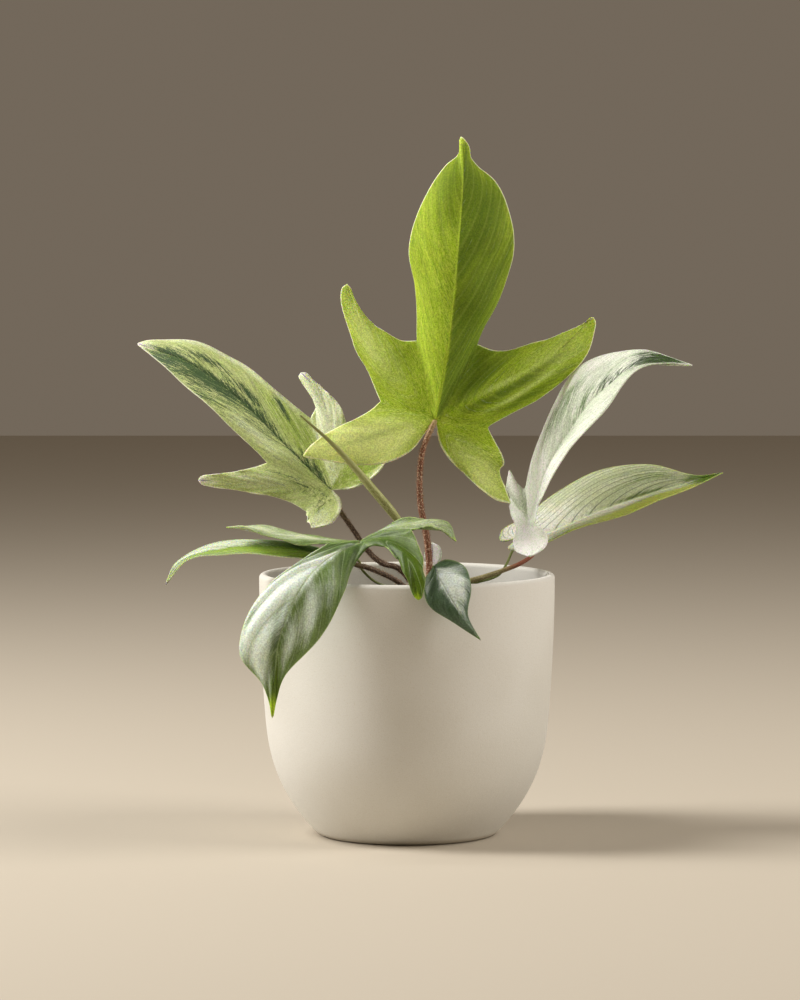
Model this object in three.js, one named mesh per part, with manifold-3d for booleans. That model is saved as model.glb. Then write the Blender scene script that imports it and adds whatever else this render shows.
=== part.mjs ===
import * as THREE from 'three';
import { mergeVertices } from 'three/addons/utils/BufferGeometryUtils.js';
import Module from 'manifold-3d';

// A Florida Ghost philodendron in a rounded ceramic pot.
// Millimetres, +Z up, the origin in the middle of the pot's foot, the open front towards -Y.

const wasm = await Module();
wasm.setup();

// Driving sizes of the pot
const potHeight = 124;
const rimRadius = 70;
const rimTaper = 9.4;          // how much narrower the plain wall would get down at the foot
const tuckHeight = 55;         // below this height the wall rounds in to the foot
const tuckDepth = 18.8;
const tuckPower = 2.5;
const wallThickness = 4;
const tuckWall = 2.5;          // how much thicker the wall gets towards the floor
const floorThickness = 9;
const floorRounding = 3;
const footRounding = 1;
const lipSteps = 6;
const potSides = 48;
const wallHeights = [4, 8, 13, 19, 27, 37, 52, 72, 95];

// Driving sizes of the planting
const soilHeight = 108;
const soilSides = 36;
const soilRings = [55, 43, 31, 19, 8];
const soilBump = 0.9;
const leastDetail = 0.03;      // edges finer than this are merged after a cut
const seatGap = 0.3;           // free play between pieces that rest on each other
const crownCentre = [9, -1];
const crownFoot = 90;
const crownTop = 122;
const crownOutline = [[4.5, 91], [6, 97], [7.2, 105], [8.6, 112], [8.2, 116.5], [5.5, 120.5]];
const crownSides = 20;

// Driving sizes of the leaves
const bladeThickness = 0.8;
const ribHeight = 0.9;         // how far the ribs stand out of the underside
const ribShare = 0.13;         // width of a rib's flank as a share of the half blade
const bladeColumns = [1, 0.55, ribShare];
const rowLength = 9;
const fewestRows = 3;
const veinSweep = 1.4;         // above 1 the side veins lean towards the tip
const archShare = 0.07;        // crown of each half blade as a share of its width
const archStart = 0.25;        // share of a lobe over which its arch grows
const wavesPerLobe = 2.5;
const waveStart = { rise: 1, fall: 2.6 };
const pleatPasses = 2;
const stemSides = 8;
const stemStep = 6;
const fewestStemSteps = 4;

// A point of a smooth curve through hand-placed points
function smoothCurve(points) {
  return new THREE.CatmullRomCurve3(points.map((p) => new THREE.Vector3(...p)), false, 'centripetal');
}

function closedGeometry(positions, triangles) {
  const geometry = new THREE.BufferGeometry();
  geometry.setAttribute('position', new THREE.Float32BufferAttribute(positions, 3));
  geometry.setIndex(triangles);
  geometry.computeVertexNormals();
  return geometry;
}

// Solids for cutting and joining

function toSolid(geometry) {
  const bare = geometry.clone();
  bare.deleteAttribute('normal');
  bare.deleteAttribute('uv');
  const merged = mergeVertices(bare, 1e-4);
  const corners = merged.index.array;
  const kept = [];
  for (let i = 0; i < corners.length; i += 3) {
    const [a, b, c] = [corners[i], corners[i + 1], corners[i + 2]];
    if (a !== b && b !== c && c !== a) {
      kept.push(a, b, c);
    }
  }
  const mesh = new wasm.Mesh({
    numProp: 3,
    vertProperties: new Float32Array(merged.attributes.position.array),
    triVerts: new Uint32Array(kept),
  });
  return new wasm.Manifold(mesh);
}

function fromSolid(solid) {
  const mesh = solid.asOriginal().simplify(leastDetail).getMesh();
  return closedGeometry(Array.from(mesh.vertProperties), Array.from(mesh.triVerts));
}

// Leaves. A leaf is a joint on its stalk and a ring of lobes. Each lobe has a rib from the joint to
// its tip, a margin that rises from the sinus before it to the tip, and one that falls from the tip
// to the sinus after it. The notch round the stalk starts and ends at the joint.

function lobeLines(leaf, index) {
  const lobe = leaf.lobes[index];
  const before = index > 0 ? leaf.lobes[index - 1].sinus : leaf.joint;
  const after = lobe.sinus ?? leaf.joint;
  return {
    rib: smoothCurve([leaf.joint, ...lobe.rib, lobe.tip]),
    rise: smoothCurve([before, ...lobe.rise, lobe.tip]),
    fall: smoothCurve([lobe.tip, ...lobe.fall, after]),
  };
}

// One point of a lobe: u runs from the joint to the tip, w from the rising margin (-1) over the
// rib (0) to the falling margin (1)
function lobePoint(lines, leaf, u, w) {
  const along = Math.pow(u, veinSweep);
  const rib = lines.rib.getPointAt(along);
  const margin = w < 0 ? lines.rise.getPointAt(u) : lines.fall.getPointAt(1 - u);
  const across = margin.clone().sub(rib);
  const side = Math.abs(w);
  const point = rib.clone().addScaledVector(across, side);
  if (u > 0 && u < 1 && w !== 0) {
    const tangent = lines.rib.getTangentAt(along);
    const face = across.clone().cross(tangent).multiplyScalar(Math.sign(w)).normalize();
    const arch = archShare * across.length() * 4 * side * (1 - side) * Math.min(1, u / archStart);
    const start = w < 0 ? waveStart.rise : waveStart.fall;
    const wave = leaf.wave * side * side * Math.sin(Math.PI * u)
      * Math.sin(2 * Math.PI * wavesPerLobe * u + start);
    point.addScaledVector(face, arch * leaf.bulge + wave);
  }
  return point;
}

// The middle surface of a whole leaf, as points and triangles, with the points on the ribs marked
function leafSurface(leaf) {
  const points = [];
  const marks = [];
  const lookup = new Map();
  const triangles = [];
  const ws = [...bladeColumns.map((c) => -c), 0, ...bladeColumns.slice().reverse()];
  const add = (point, onRib, loose) => {
    const key = point.toArray().map((v) => Math.round(v * 1000)).join(' ');
    if (!lookup.has(key)) {
      lookup.set(key, points.length);
      points.push(point);
      marks.push({ onRib, loose, near: new Set() });
    }
    marks[lookup.get(key)].onRib ||= onRib;
    return lookup.get(key);
  };
  leaf.lobes.forEach((lobe, index) => {
    const lines = lobeLines(leaf, index);
    const rows = Math.max(fewestRows, Math.round(lines.rib.getLength() / rowLength));
    const grid = [];
    for (let row = 0; row <= rows; row++) {
      const u = row / rows;
      grid.push(ws.map((w) => add(lobePoint(lines, leaf, u, w), w === 0 && u < 1,
        row <= 1 && w !== 0 && Math.abs(w) < 1)));
    }
    for (let row = 0; row < rows; row++) {
      for (let column = 0; column < ws.length - 1; column++) {
        const a = grid[row][column];
        const b = grid[row][column + 1];
        const c = grid[row + 1][column + 1];
        const d = grid[row + 1][column];
        const pair = ws[column] < 0 ? [[a, b, c], [a, c, d]] : [[a, b, d], [b, c, d]];
        for (const [p, q, r] of pair) {
          if (p !== q && q !== r && r !== p) {
            triangles.push([p, q, r]);
          }
        }
      }
    }
  });
  for (const [p, q, r] of triangles) {
    marks[p].near.add(q).add(r);
    marks[q].near.add(p).add(r);
    marks[r].near.add(p).add(q);
  }
  smoothLoose(points, marks);
  return { points, marks, triangles };
}

// Evens out the pleats where two lobes meet
function smoothLoose(points, marks) {
  for (let pass = 0; pass < pleatPasses; pass++) {
    const moved = points.map((point, i) => {
      if (!marks[i].loose) {
        return point;
      }
      const mean = new THREE.Vector3();
      for (const j of marks[i].near) {
        mean.add(points[j]);
      }
      return point.clone().lerp(mean.divideScalar(marks[i].near.size), 0.5);
    });
    moved.forEach((point, i) => points[i].copy(point));
  }
}

function surfaceNormals(points, triangles) {
  const normals = points.map(() => new THREE.Vector3());
  for (const [p, q, r] of triangles) {
    const side = points[q].clone().sub(points[p]);
    const face = side.cross(points[r].clone().sub(points[p]));
    normals[p].add(face);
    normals[q].add(face);
    normals[r].add(face);
  }
  return normals.map((n) => n.normalize());
}

// Two skins round a middle surface, sewn together along its edge. The second skin is the underside.
function thicken(points, triangles, normals, upper, lower) {
  const count = points.length;
  const positions = [];
  points.forEach((point, i) => {
    positions.push(...point.clone().addScaledVector(normals[i], upper[i]).toArray());
  });
  points.forEach((point, i) => {
    positions.push(...point.clone().addScaledVector(normals[i], -lower[i]).toArray());
  });
  const index = [];
  const edges = new Map();
  for (const [p, q, r] of triangles) {
    index.push(p, q, r, p + count, r + count, q + count);
    for (const [a, b] of [[p, q], [q, r], [r, p]]) {
      edges.set(`${a} ${b}`, [a, b]);
    }
  }
  for (const [a, b] of edges.values()) {
    if (!edges.has(`${b} ${a}`)) {
      index.push(b, a, a + count, b, a + count, b + count);
    }
  }
  return closedGeometry(positions, index);
}

// A blade, and the seat that it leaves for its stalk under the joint
function makeBlade(leaf) {
  const { points, marks, triangles } = leafSurface(leaf);
  const normals = surfaceNormals(points, triangles);
  const half = bladeThickness / 2;
  const rib = marks.map((mark) => (mark.onRib ? half + ribHeight : half));
  const flat = marks.map(() => half);
  const ribsInFront = leaf.underside > 0;
  const geometry = thicken(points, triangles, normals, ribsInFront ? rib : flat, ribsInFront ? flat : rib);
  const joint = new THREE.Vector3(...leaf.joint);
  const nearest = points.findIndex((point) => point.distanceTo(joint) < 0.01);
  const outward = normals[nearest].clone().multiplyScalar(leaf.underside);
  return { geometry, joint, outward };
}

// Stalks

function stemGeometry(points, radii, grow = 0) {
  const curve = smoothCurve(points);
  const steps = Math.max(fewestStemSteps, Math.round(curve.getLength() / stemStep));
  const frames = curve.computeFrenetFrames(steps, false);
  const positions = [];
  const index = [];
  for (let i = 0; i <= steps; i++) {
    const t = i / steps;
    const centre = curve.getPointAt(t);
    if (i === 0) {
      centre.addScaledVector(frames.tangents[0], -grow);
    }
    const place = t * (radii.length - 1);
    const low = Math.min(Math.floor(place), radii.length - 2);
    const radius = THREE.MathUtils.lerp(radii[low], radii[low + 1], place - low) + grow;
    for (let k = 0; k < stemSides; k++) {
      const turn = 2 * Math.PI * k / stemSides;
      const point = centre.clone()
        .addScaledVector(frames.normals[i], radius * Math.cos(turn))
        .addScaledVector(frames.binormals[i], radius * Math.sin(turn));
      positions.push(...point.toArray());
    }
  }
  for (let i = 0; i < steps; i++) {
    for (let k = 0; k < stemSides; k++) {
      const a = i * stemSides + k;
      const b = i * stemSides + (k + 1) % stemSides;
      index.push(a, b, b + stemSides, a, b + stemSides, a + stemSides);
    }
  }
  const last = steps * stemSides;
  for (let k = 1; k < stemSides - 1; k++) {
    index.push(0, k + 1, k, last, last + k, last + k + 1);
  }
  return closedGeometry(positions, index);
}

// A stalk runs up to just under its blade's joint
function seatedStalk(path, blade, radii) {
  const from = new THREE.Vector3(...path[path.length - 1]);
  const heading = blade.joint.clone().sub(from).normalize();
  const slant = Math.sqrt(Math.max(0, 1 - heading.dot(blade.outward) ** 2));
  const reach = bladeThickness / 2 + ribHeight + 1.5 * seatGap + radii[radii.length - 1] * slant;
  const seat = blade.joint.clone().addScaledVector(blade.outward, reach);
  return [...path, seat.toArray()];
}

// The pot

function outerRadius(z) {
  const lift = Math.max(0, 1 - z / tuckHeight);
  return rimRadius - rimTaper * (1 - z / potHeight) ** 2 - tuckDepth * lift ** tuckPower;
}

function innerRadius(z) {
  const lift = Math.max(0, 1 - z / tuckHeight);
  return outerRadius(z) - wallThickness - tuckWall * lift;
}

// Heights of the rings of the wall's inside, above the rounding of the floor
const innerHeights = wallHeights.filter((height) => height > floorThickness + floorRounding);

function makePot() {
  const profile = [[0, 0], [outerRadius(0) - footRounding, 0], [outerRadius(footRounding), footRounding]];
  for (const z of wallHeights) {
    profile.push([outerRadius(z), z]);
  }
  const lipRadius = wallThickness / 2;
  const lipCentre = potHeight - lipRadius;
  for (let i = 0; i <= lipSteps; i++) {
    const turn = Math.PI * i / lipSteps;
    const r = rimRadius - lipRadius + lipRadius * Math.cos(turn);
    profile.push([r, lipCentre + lipRadius * Math.sin(turn)]);
  }
  for (const z of innerHeights.slice().reverse()) {
    profile.push([innerRadius(z), z]);
  }
  profile.push([innerRadius(floorThickness) - floorRounding, floorThickness], [0, floorThickness]);
  return lathe(profile, potSides);
}

// Turns a profile of [radius, height] pairs, which starts and ends on the axis, about +Z
function lathe(profile, sides) {
  const geometry = new THREE.LatheGeometry(profile.map(([r, z]) => new THREE.Vector2(r, z)), sides);
  geometry.rotateX(Math.PI / 2);
  return fromSolid(toSolid(geometry));
}

// The potting mix, with an uneven top and a plain hole for the crown
function makePottingMix(crownHole) {
  const bottom = floorThickness + seatGap;
  const profile = [[0, bottom], [innerRadius(floorThickness) - floorRounding - seatGap, bottom]];
  for (const z of innerHeights) {
    profile.push([innerRadius(z) - 2 * seatGap, z]);
  }
  profile.push([innerRadius(soilHeight) - 2 * seatGap, soilHeight - 1]);
  for (const r of soilRings) {
    profile.push([r, soilHeight]);
  }
  profile.push([0, soilHeight]);
  const geometry = lathe(profile, soilSides);
  const place = geometry.attributes.position;
  for (let i = 0; i < place.count; i++) {
    if (place.getZ(i) > soilHeight - 0.5) {
      const x = place.getX(i);
      const y = place.getY(i);
      const bump = Math.sin(x * 0.21 + 1) * Math.cos(y * 0.17) + 0.6 * Math.sin(x * 0.37 - y * 0.31);
      place.setZ(i, soilHeight + soilBump * bump);
    }
  }
  return fromSolid(toSolid(geometry).subtract(crownHole));
}

// The crown: the short stem that the stalks grow from, sunk in the mix
function crownProfile(grow) {
  return [
    [0, crownFoot - grow],
    ...crownOutline.map(([r, z]) => [r + grow, z - grow]),
    [0, crownTop + grow],
  ];
}

function makeCrown(grow) {
  const geometry = lathe(crownProfile(grow), crownSides);
  geometry.translate(crownCentre[0], crownCentre[1], 0);
  return toSolid(geometry);
}

// The sheath: a thin scoop round the foot of the rolled new leaf that narrows to a point
const newLeafRadius = 1.7;
const sheath = {
  start: 0.045,                // where it begins and ends along the new leaf
  end: 0.42,
  socketStart: 0.039,          // the same for the room that its foot takes in the crown
  socketEnd: 0.12,
  facing: [1, 0.5, 0],         // the way its closed back points
  radius: newLeafRadius + seatGap + bladeThickness / 2,
  flare: 1,
  reach: [2.2, 0.35],          // half of its opening angle at the foot and at the point
  rows: 6,
  spread: [-1, -0.6, -0.2, 0.2, 0.6, 1],
};

function makeSheath(curve) {
  const points = [];
  const triangles = [];
  for (let row = 0; row <= sheath.rows; row++) {
    const share = row / sheath.rows;
    const t = THREE.MathUtils.lerp(sheath.start, sheath.end, share);
    const tangent = curve.getTangentAt(t);
    const right = new THREE.Vector3(...sheath.facing).projectOnPlane(tangent).normalize();
    const back = tangent.clone().cross(right);
    const reach = THREE.MathUtils.lerp(sheath.reach[0], sheath.reach[1], share ** 1.5);
    const radius = sheath.radius + sheath.flare * share;
    for (const w of sheath.spread) {
      points.push(curve.getPointAt(t)
        .addScaledVector(right, radius * Math.cos(w * reach))
        .addScaledVector(back, radius * Math.sin(w * reach)));
    }
  }
  const columns = sheath.spread.length;
  for (let row = 0; row < sheath.rows; row++) {
    for (let column = 0; column < columns - 1; column++) {
      const a = row * columns + column;
      triangles.push([a, a + 1, a + 1 + columns], [a, a + 1 + columns, a + columns]);
    }
  }
  const half = points.map(() => bladeThickness / 2);
  return thicken(points, triangles, surfaceNormals(points, triangles), half, half);
}

// The room that the sheath's foot takes in the crown
function sheathSocket(curve) {
  const path = [curve.getPointAt(sheath.socketStart), curve.getPointAt(sheath.socketEnd)];
  const radius = (sheath.radius + bladeThickness / 2 + seatGap) / Math.cos(Math.PI / stemSides);
  return stemGeometry(path.map((point) => point.toArray()), [radius, radius + sheath.flare / 3]);
}

// The upright lime leaf with five lobes. Its underside and ribs face the front.
const limeLeaf = {
  joint: [13.5, 2, 196.5],
  underside: 1,
  bulge: 1,
  wave: 0.8,
  lobes: [
    // left basal lobe
    {
      rib: [[-2.5, -1, 190.5], [-24.5, -6.5, 185.5]],
      rise: [[9.5, 0, 191.5], [1.5, -4, 182], [-10.5, -7, 176.5], [-31.5, -9, 176.5]],
      tip: [-49, -10.5, 180],
      fall: [[-45.5, -8.5, 184.5], [-34, -4, 193], [-23, 0, 197.5]],
      sinus: [-12.5, 6.5, 205],
    },
    // left side lobe
    {
      rib: [[-2.5, 5, 211.5], [-18.5, 14.5, 234]],
      rise: [[-17, 12, 215], [-26, 17.5, 233.5], [-31, 22, 251.5]],
      tip: [-28.5, 25, 260.5],
      fall: [[-24.5, 23, 252], [-14.5, 18, 240.5], [-3.5, 15.5, 234]],
      sinus: [5, 15.5, 233.5],
    },
    // end lobe
    {
      rib: [[18, 4.5, 220], [21.5, 8.5, 248.5], [24.5, 16, 281.5], [26.5, 26.5, 307.5]],
      rise: [[4.5, 20.5, 253], [1.5, 24, 276.5], [5.5, 28, 296.5], [16, 32.5, 313], [24, 36, 322.5]],
      tip: [26.5, 39, 331],
      fall: [[31, 37.5, 323], [42, 34, 311], [49.5, 29.5, 293], [51, 26, 276.5], [46, 23, 260]],
      sinus: [33, 16, 232],
    },
    // right side lobe
    {
      rib: [[34.5, 4.5, 205], [63.5, 13, 222]],
      rise: [[42.5, 14.5, 229], [63.5, 18.5, 233.5], [80.5, 22.5, 239.5]],
      tip: [90, 26, 245],
      fall: [[87, 23.5, 229], [76.5, 19, 216], [60, 12.5, 204.5]],
      sinus: [38, 6.5, 193],
    },
    // right basal lobe
    {
      rib: [[23, 0.5, 183.5], [35.5, -2.5, 169.5]],
      rise: [[43, 3.5, 183.5], [46, 0, 175.5], [44, -0.5, 173.5], [46.5, -4.5, 164.5]],
      tip: [49, -7, 157.5],
      fall: [[42, -6.5, 159], [27.5, -2, 170.5], [16.5, -0.5, 183]],
    },
  ],
};

// The mottled leaf on the left, its upper face to the front
const mottledLeaf = {
  joint: [-35.5, 12, 162.5],
  underside: -1,
  bulge: 1,
  wave: 0.8,
  lobes: [
    // left basal lobe
    {
      rib: [[-40, 8, 155]],
      rise: [[-31.5, 9, 158.5], [-31.5, 5.5, 153], [-36.5, 1.5, 147]],
      tip: [-44.5, 1.5, 145],
      fall: [[-47, 4, 148]],
      sinus: [-47.5, 7.5, 152.5],
    },
    // left side lobe
    {
      rib: [[-58, 11.5, 164], [-82, 10.5, 166.5]],
      rise: [[-58, 10, 158], [-79.5, 9.5, 163.5]],
      tip: [-99, 10, 167.5],
      fall: [[-82, 10.5, 171]],
      sinus: [-66.5, 14, 175.5],
    },
    // end lobe
    {
      rib: [[-55, 18.5, 180.5], [-77.5, 27.5, 203], [-104.5, 37, 222]],
      rise: [[-79.5, 15, 188.5], [-99, 21.5, 206], [-117, 34, 221]],
      tip: [-130.5, 45.5, 231],
      fall: [[-124, 46, 233], [-105, 45, 232.5], [-83, 42, 224.5], [-65, 34, 210.5]],
      sinus: [-46, 26, 196],
    },
    // right side lobe
    {
      rib: [[-35, 18, 184], [-38, 26.5, 203.5]],
      rise: [[-43.5, 29.5, 204], [-47.5, 32.5, 211.5]],
      tip: [-52.5, 35, 217.5],
      fall: [[-45.5, 34, 217], [-34, 26, 205]],
      sinus: [-26, 19, 186],
    },
    // right basal lobe
    {
      rib: [[-22.5, 13, 170.5]],
      rise: [[-15.5, 15, 182]],
      tip: [-10, 12.5, 176],
      fall: [[-14, 10.5, 170.5], [-24.5, 10.5, 164]],
    },
  ],
};

// The white leaf on the right, turned so that it is seen from the side
const whiteLeaf = {
  joint: [58, 5, 148],
  underside: -1,
  bulge: 1,
  wave: 0.5,
  lobes: [
    // near basal lobe
    {
      rib: [[58.5, -3, 141]],
      rise: [[63.5, 0.5, 145.5], [66.5, -6, 140.5], [63.5, -10.5, 135.5]],
      tip: [58, -11, 132.5],
      fall: [[52, -5.5, 134], [50.5, 0, 138.5]],
      sinus: [53, 5, 144.5],
    },
    // far basal lobe
    {
      rib: [[54.5, 11, 151]],
      rise: [[50.5, 13, 149.5]],
      tip: [49.5, 16, 154],
      fall: [[49.5, 17, 156.5]],
      sinus: [50, 17, 159],
    },
    // far side lobe
    {
      rib: [[55, 11, 157.5], [51, 17, 165]],
      rise: [[48, 19.5, 164]],
      tip: [49, 20.5, 171.5],
      fall: [[52.5, 19.5, 164.5]],
      sinus: [56.5, 16.5, 162],
    },
    // end lobe
    {
      rib: [[63, 4.5, 163], [72.5, 4.5, 183.5], [87.5, 2.5, 205], [107.5, -1.5, 221]],
      rise: [[60, 19.5, 177.5], [69.5, 20.5, 202], [85.5, 17.5, 223.5], [110.5, 6, 229]],
      tip: [134, -10.5, 223],
      fall: [[121, -11, 223.5], [108, -13, 220], [92.5, -15, 202], [75.5, -12.5, 182]],
      sinus: [62, -3, 157.5],
    },
    // near side lobe
    {
      rib: [[59.5, 0.5, 150]],
      rise: [[61, -5, 154]],
      tip: [60.5, -7.5, 150],
      fall: [[60, -3.5, 146]],
    },
  ],
};

// The pale, still unlobed leaf on the right
const paleLeaf = {
  joint: [54.5, 17, 140],
  underside: -1,
  bulge: 1,
  wave: 0.4,
  lobes: [
    {
      rib: [[69.5, 19, 142.5], [92.5, 22.5, 151.5], [119, 23.5, 160.5]],
      rise: [[45, 19.5, 137.5], [45.5, 24.5, 142.5], [55.5, 30, 147.5], [71.5, 34.5, 159.5],
        [93, 34.5, 170.5], [117, 32, 173.5], [139.5, 24.5, 169]],
      tip: [151.5, 22.5, 170.5],
      fall: [[135, 14, 163.5], [108, 4, 153.5], [84.5, 4.5, 146], [68, 9, 138.5], [54, 13, 133.5],
        [48, 16, 134.5]],
    },
  ],
};

// The leaf that arches over the rim and hangs down in front of the pot
const archingLeaf = {
  joint: [-21.5, -52, 143],
  underside: -1,
  bulge: 1,
  wave: 0.8,
  lobes: [
    // right basal lobe
    {
      rib: [[-9.5, -56, 148], [8, -58, 152.5]],
      rise: [[-16, -50, 146], [-4, -50, 152.5], [10.5, -51, 153.5], [19, -54, 151]],
      tip: [22.5, -60, 143.5],
      fall: [[18, -62, 147], [10.5, -63, 151]],
      sinus: [1.5, -64, 149.5],
    },
    // right side lobe
    {
      rib: [[-10.5, -60, 146.5], [0, -74, 137.5]],
      rise: [[5.5, -70, 141], [8, -79, 127.5]],
      tip: [6, -81, 118],
      fall: [[-1, -78, 129.5], [-8, -68, 140.5]],
      sinus: [-17, -56, 142],
    },
    // end lobe
    {
      rib: [[-35.5, -64, 137], [-48.5, -78, 123.5], [-58, -83, 100.5]],
      rise: [[-24.5, -62, 132.5], [-29, -74, 120.5], [-39.5, -79, 101], [-57.5, -80, 81]],
      tip: [-62, -77, 64],
      fall: [[-68, -77, 78], [-76, -77, 93], [-72.5, -76, 112.5], [-53.5, -69, 132]],
      sinus: [-35.5, -54, 142.5],
    },
    // left side lobe
    {
      rib: [[-39.5, -48, 142.5], [-63.5, -42, 145]],
      rise: [[-50.5, -53, 141.5], [-72.5, -47, 148]],
      tip: [-84, -37, 148],
      fall: [[-66, -34, 148], [-41.5, -40, 143.5]],
    },
  ],
};

// The long narrow young leaf on the left
const strapLeaf = {
  joint: [-23, -43, 134.5],
  underside: -1,
  bulge: 1,
  wave: 0.4,
  lobes: [
    {
      rib: [[-45, -42, 137], [-77.5, -37, 139], [-102, -31, 133]],
      rise: [[-35.5, -47, 134.5], [-56.5, -49, 135.5], [-82, -42, 136.5], [-103, -33, 132]],
      tip: [-113, -26, 120.5],
      fall: [[-107.5, -28, 131.5], [-85, -29, 141.5], [-58, -34, 141], [-36, -38, 137.5]],
    },
  ],
};

// The small dark heart-shaped leaf that hangs over the front of the rim
const smallDarkLeaf = {
  joint: [12, -64, 132.5],
  underside: -1,
  bulge: 1,
  wave: 0.3,
  lobes: [
    {
      rib: [[17, -75, 123.5], [24, -79, 112]],
      rise: [[18, -61, 135], [26, -65, 132.5], [29, -72, 123], [27.5, -76, 110.5]],
      tip: [33.5, -77, 99.5],
      fall: [[21.5, -79, 107.5], [9.5, -79, 116], [7.5, -75, 125.5]],
    },
  ],
};

// The small round white leaf behind the crown
const smallWhiteLeaf = {
  joint: [11.5, 8, 125.5],
  underside: -1,
  bulge: 1,
  wave: 0.2,
  lobes: [
    {
      rib: [[12, 9, 132]],
      rise: [[8, 9, 131.5]],
      tip: [12, 10, 138],
      fall: [[16, 8, 135.5], [16, 7, 129.5]],
    },
  ],
};

// Stalks, from the crown outwards, with their radii from foot to top
const limeStalk = {
  path: [[10.5, 1.5, 113], [10.5, 1, 129.5], [9, 0, 143.5], [6.5, 0, 156], [6, 0, 169], [7.5, -1, 182.5],
    [11, -3, 191.5]],
  radii: [1.6, 1.6, 1.4, 1.0],
};
const mottledStalk = {
  path: [[4, 2.5, 117], [-4, 2, 126], [-12, 4, 128.5], [-18.5, 6, 134], [-26, 9, 144.5], [-32, 12, 153]],
  radii: [1.3, 1.3, 1.2, 0.9],
};
const whiteStalk = {
  path: [[14, 0.5, 115], [25, 0, 119], [36, 0, 122], [46.5, 1, 125.5], [54, 2, 128.5], [60, 4, 133],
    [60, 7, 140]],
  radii: [1.1, 0.9, 0.8, 0.8],
};
const paleStalk = {
  path: [[13.5, 4, 113], [24, 5, 116.5], [34.5, 5, 119.5], [39.5, 8, 120.5], [44, 10, 122.5],
    [47.5, 14, 127], [50.5, 19, 133], [52.5, 20, 137]],
  radii: [0.8, 0.6, 0.6],
};
const archingStalk = {
  path: [[4.8, -6.4, 112.5], [-4, -22, 121.5], [-12.5, -34, 127], [-19.5, -44, 130.5], [-24.5, -49, 132.5],
    [-25.5, -50, 137.5]],
  radii: [1.4, 1.2, 1.2, 1.0],
};
const strapStalk = {
  path: [[7.5, -7, 112], [2, -18, 114.5], [-6, -27, 118.5], [-14.5, -34, 122.5], [-17.5, -37, 125],
    [-21, -40, 129], [-22.5, -42.6, 133.2], [-26, -42.9, 134.6]],
  radii: [0.7, 0.55, 0.6],
};
const smallDarkStalk = {
  path: [[11, -7, 113], [12, -30, 121.5], [12.5, -50, 130]],
  radii: [0.9, 0.8, 0.7],
};
const smallWhiteStalk = {
  path: [[10.5, 5, 116], [11, 7, 122], [11.5, 8.1, 128]],
  radii: [0.8, 0.7],
};
const spear = {
  path: [[8, -3, 114], [6.8, -4.9, 121], [5.5, -6, 129], [2, -8, 138], [-4, -11, 149.5],
    [-16, -14, 164.5], [-34, -16, 185], [-50, -18, 199.5]],
  radii: [1.5, 1.5, 1.7, 2.2, 2.1, 1.6, 0.9, 0.4],
};

// Everything together

const plant = new THREE.Group();

function addPiece(name, geometry, colour, roughness) {
  const material = new THREE.MeshStandardMaterial({ color: colour, roughness, metalness: 0 });
  const mesh = new THREE.Mesh(geometry, material);
  mesh.name = name;
  plant.add(mesh);
}

const sockets = [];

function addStalk(name, stalk, path, colour) {
  addPiece(name, stemGeometry(path, stalk.radii), colour, 0.7);
  sockets.push(toSolid(stemGeometry(path, stalk.radii, seatGap)));
}

// A leaf whose blade and stalk differ in colour is two pieces, the stalk seated under the blade
function addLeaf(name, leaf, stalk, bladeColour, stalkColour) {
  const blade = makeBlade(leaf);
  addPiece(`${name}_blade`, blade.geometry, bladeColour, 0.45);
  addStalk(`${name}_petiole`, stalk, seatedStalk(stalk.path, blade, stalk.radii), stalkColour);
}

// A leaf of one colour is one piece, its stalk grown into the blade
function addWholeLeaf(name, leaf, stalk, colour) {
  const joined = toSolid(makeBlade(leaf).geometry).add(toSolid(stemGeometry(stalk.path, stalk.radii)));
  addPiece(name, fromSolid(joined), colour, 0.45);
  sockets.push(toSolid(stemGeometry(stalk.path, stalk.radii, seatGap)));
}

addLeaf('lime_leaf', limeLeaf, limeStalk, 0xa3bf2f, 0x8a5546);
addLeaf('mottled_leaf', mottledLeaf, mottledStalk, 0xa9b983, 0x54403a);
addLeaf('white_leaf', whiteLeaf, whiteStalk, 0xe6e8dc, 0x8d6652);
addLeaf('pale_leaf', paleLeaf, paleStalk, 0xb4bfa4, 0x5f7a2a);
addLeaf('arching_leaf', archingLeaf, archingStalk, 0x6f8d58, 0x6c5442);
addLeaf('small_dark_leaf', smallDarkLeaf, smallDarkStalk, 0x3d5a3d, 0x6a6a3c);
addWholeLeaf('strap_leaf', strapLeaf, strapStalk, 0x6d8a46);
addWholeLeaf('small_white_leaf', smallWhiteLeaf, smallWhiteStalk, 0xe9e9e0);
addStalk('new_leaf_spear', spear, spear.path, 0x8f9a5c);
const spearCurve = smoothCurve(spear.path);
addPiece('spear_sheath', makeSheath(spearCurve), 0xcbb49a, 0.6);
sockets.push(toSolid(sheathSocket(spearCurve)));

let crown = makeCrown(0);
for (const socket of sockets) {
  crown = crown.subtract(socket);
}
addPiece('crown', fromSolid(crown), 0x6b6240, 0.8);
addPiece('potting_mix', makePottingMix(makeCrown(seatGap)), 0x3b2c20, 0.95);
addPiece('pot', makePot(), 0xe4dfd2, 0.75);

export default plant;
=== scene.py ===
import math
import random
from bisect import bisect_left

import bmesh
import bpy
from mathutils import Matrix, Vector, noise


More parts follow.
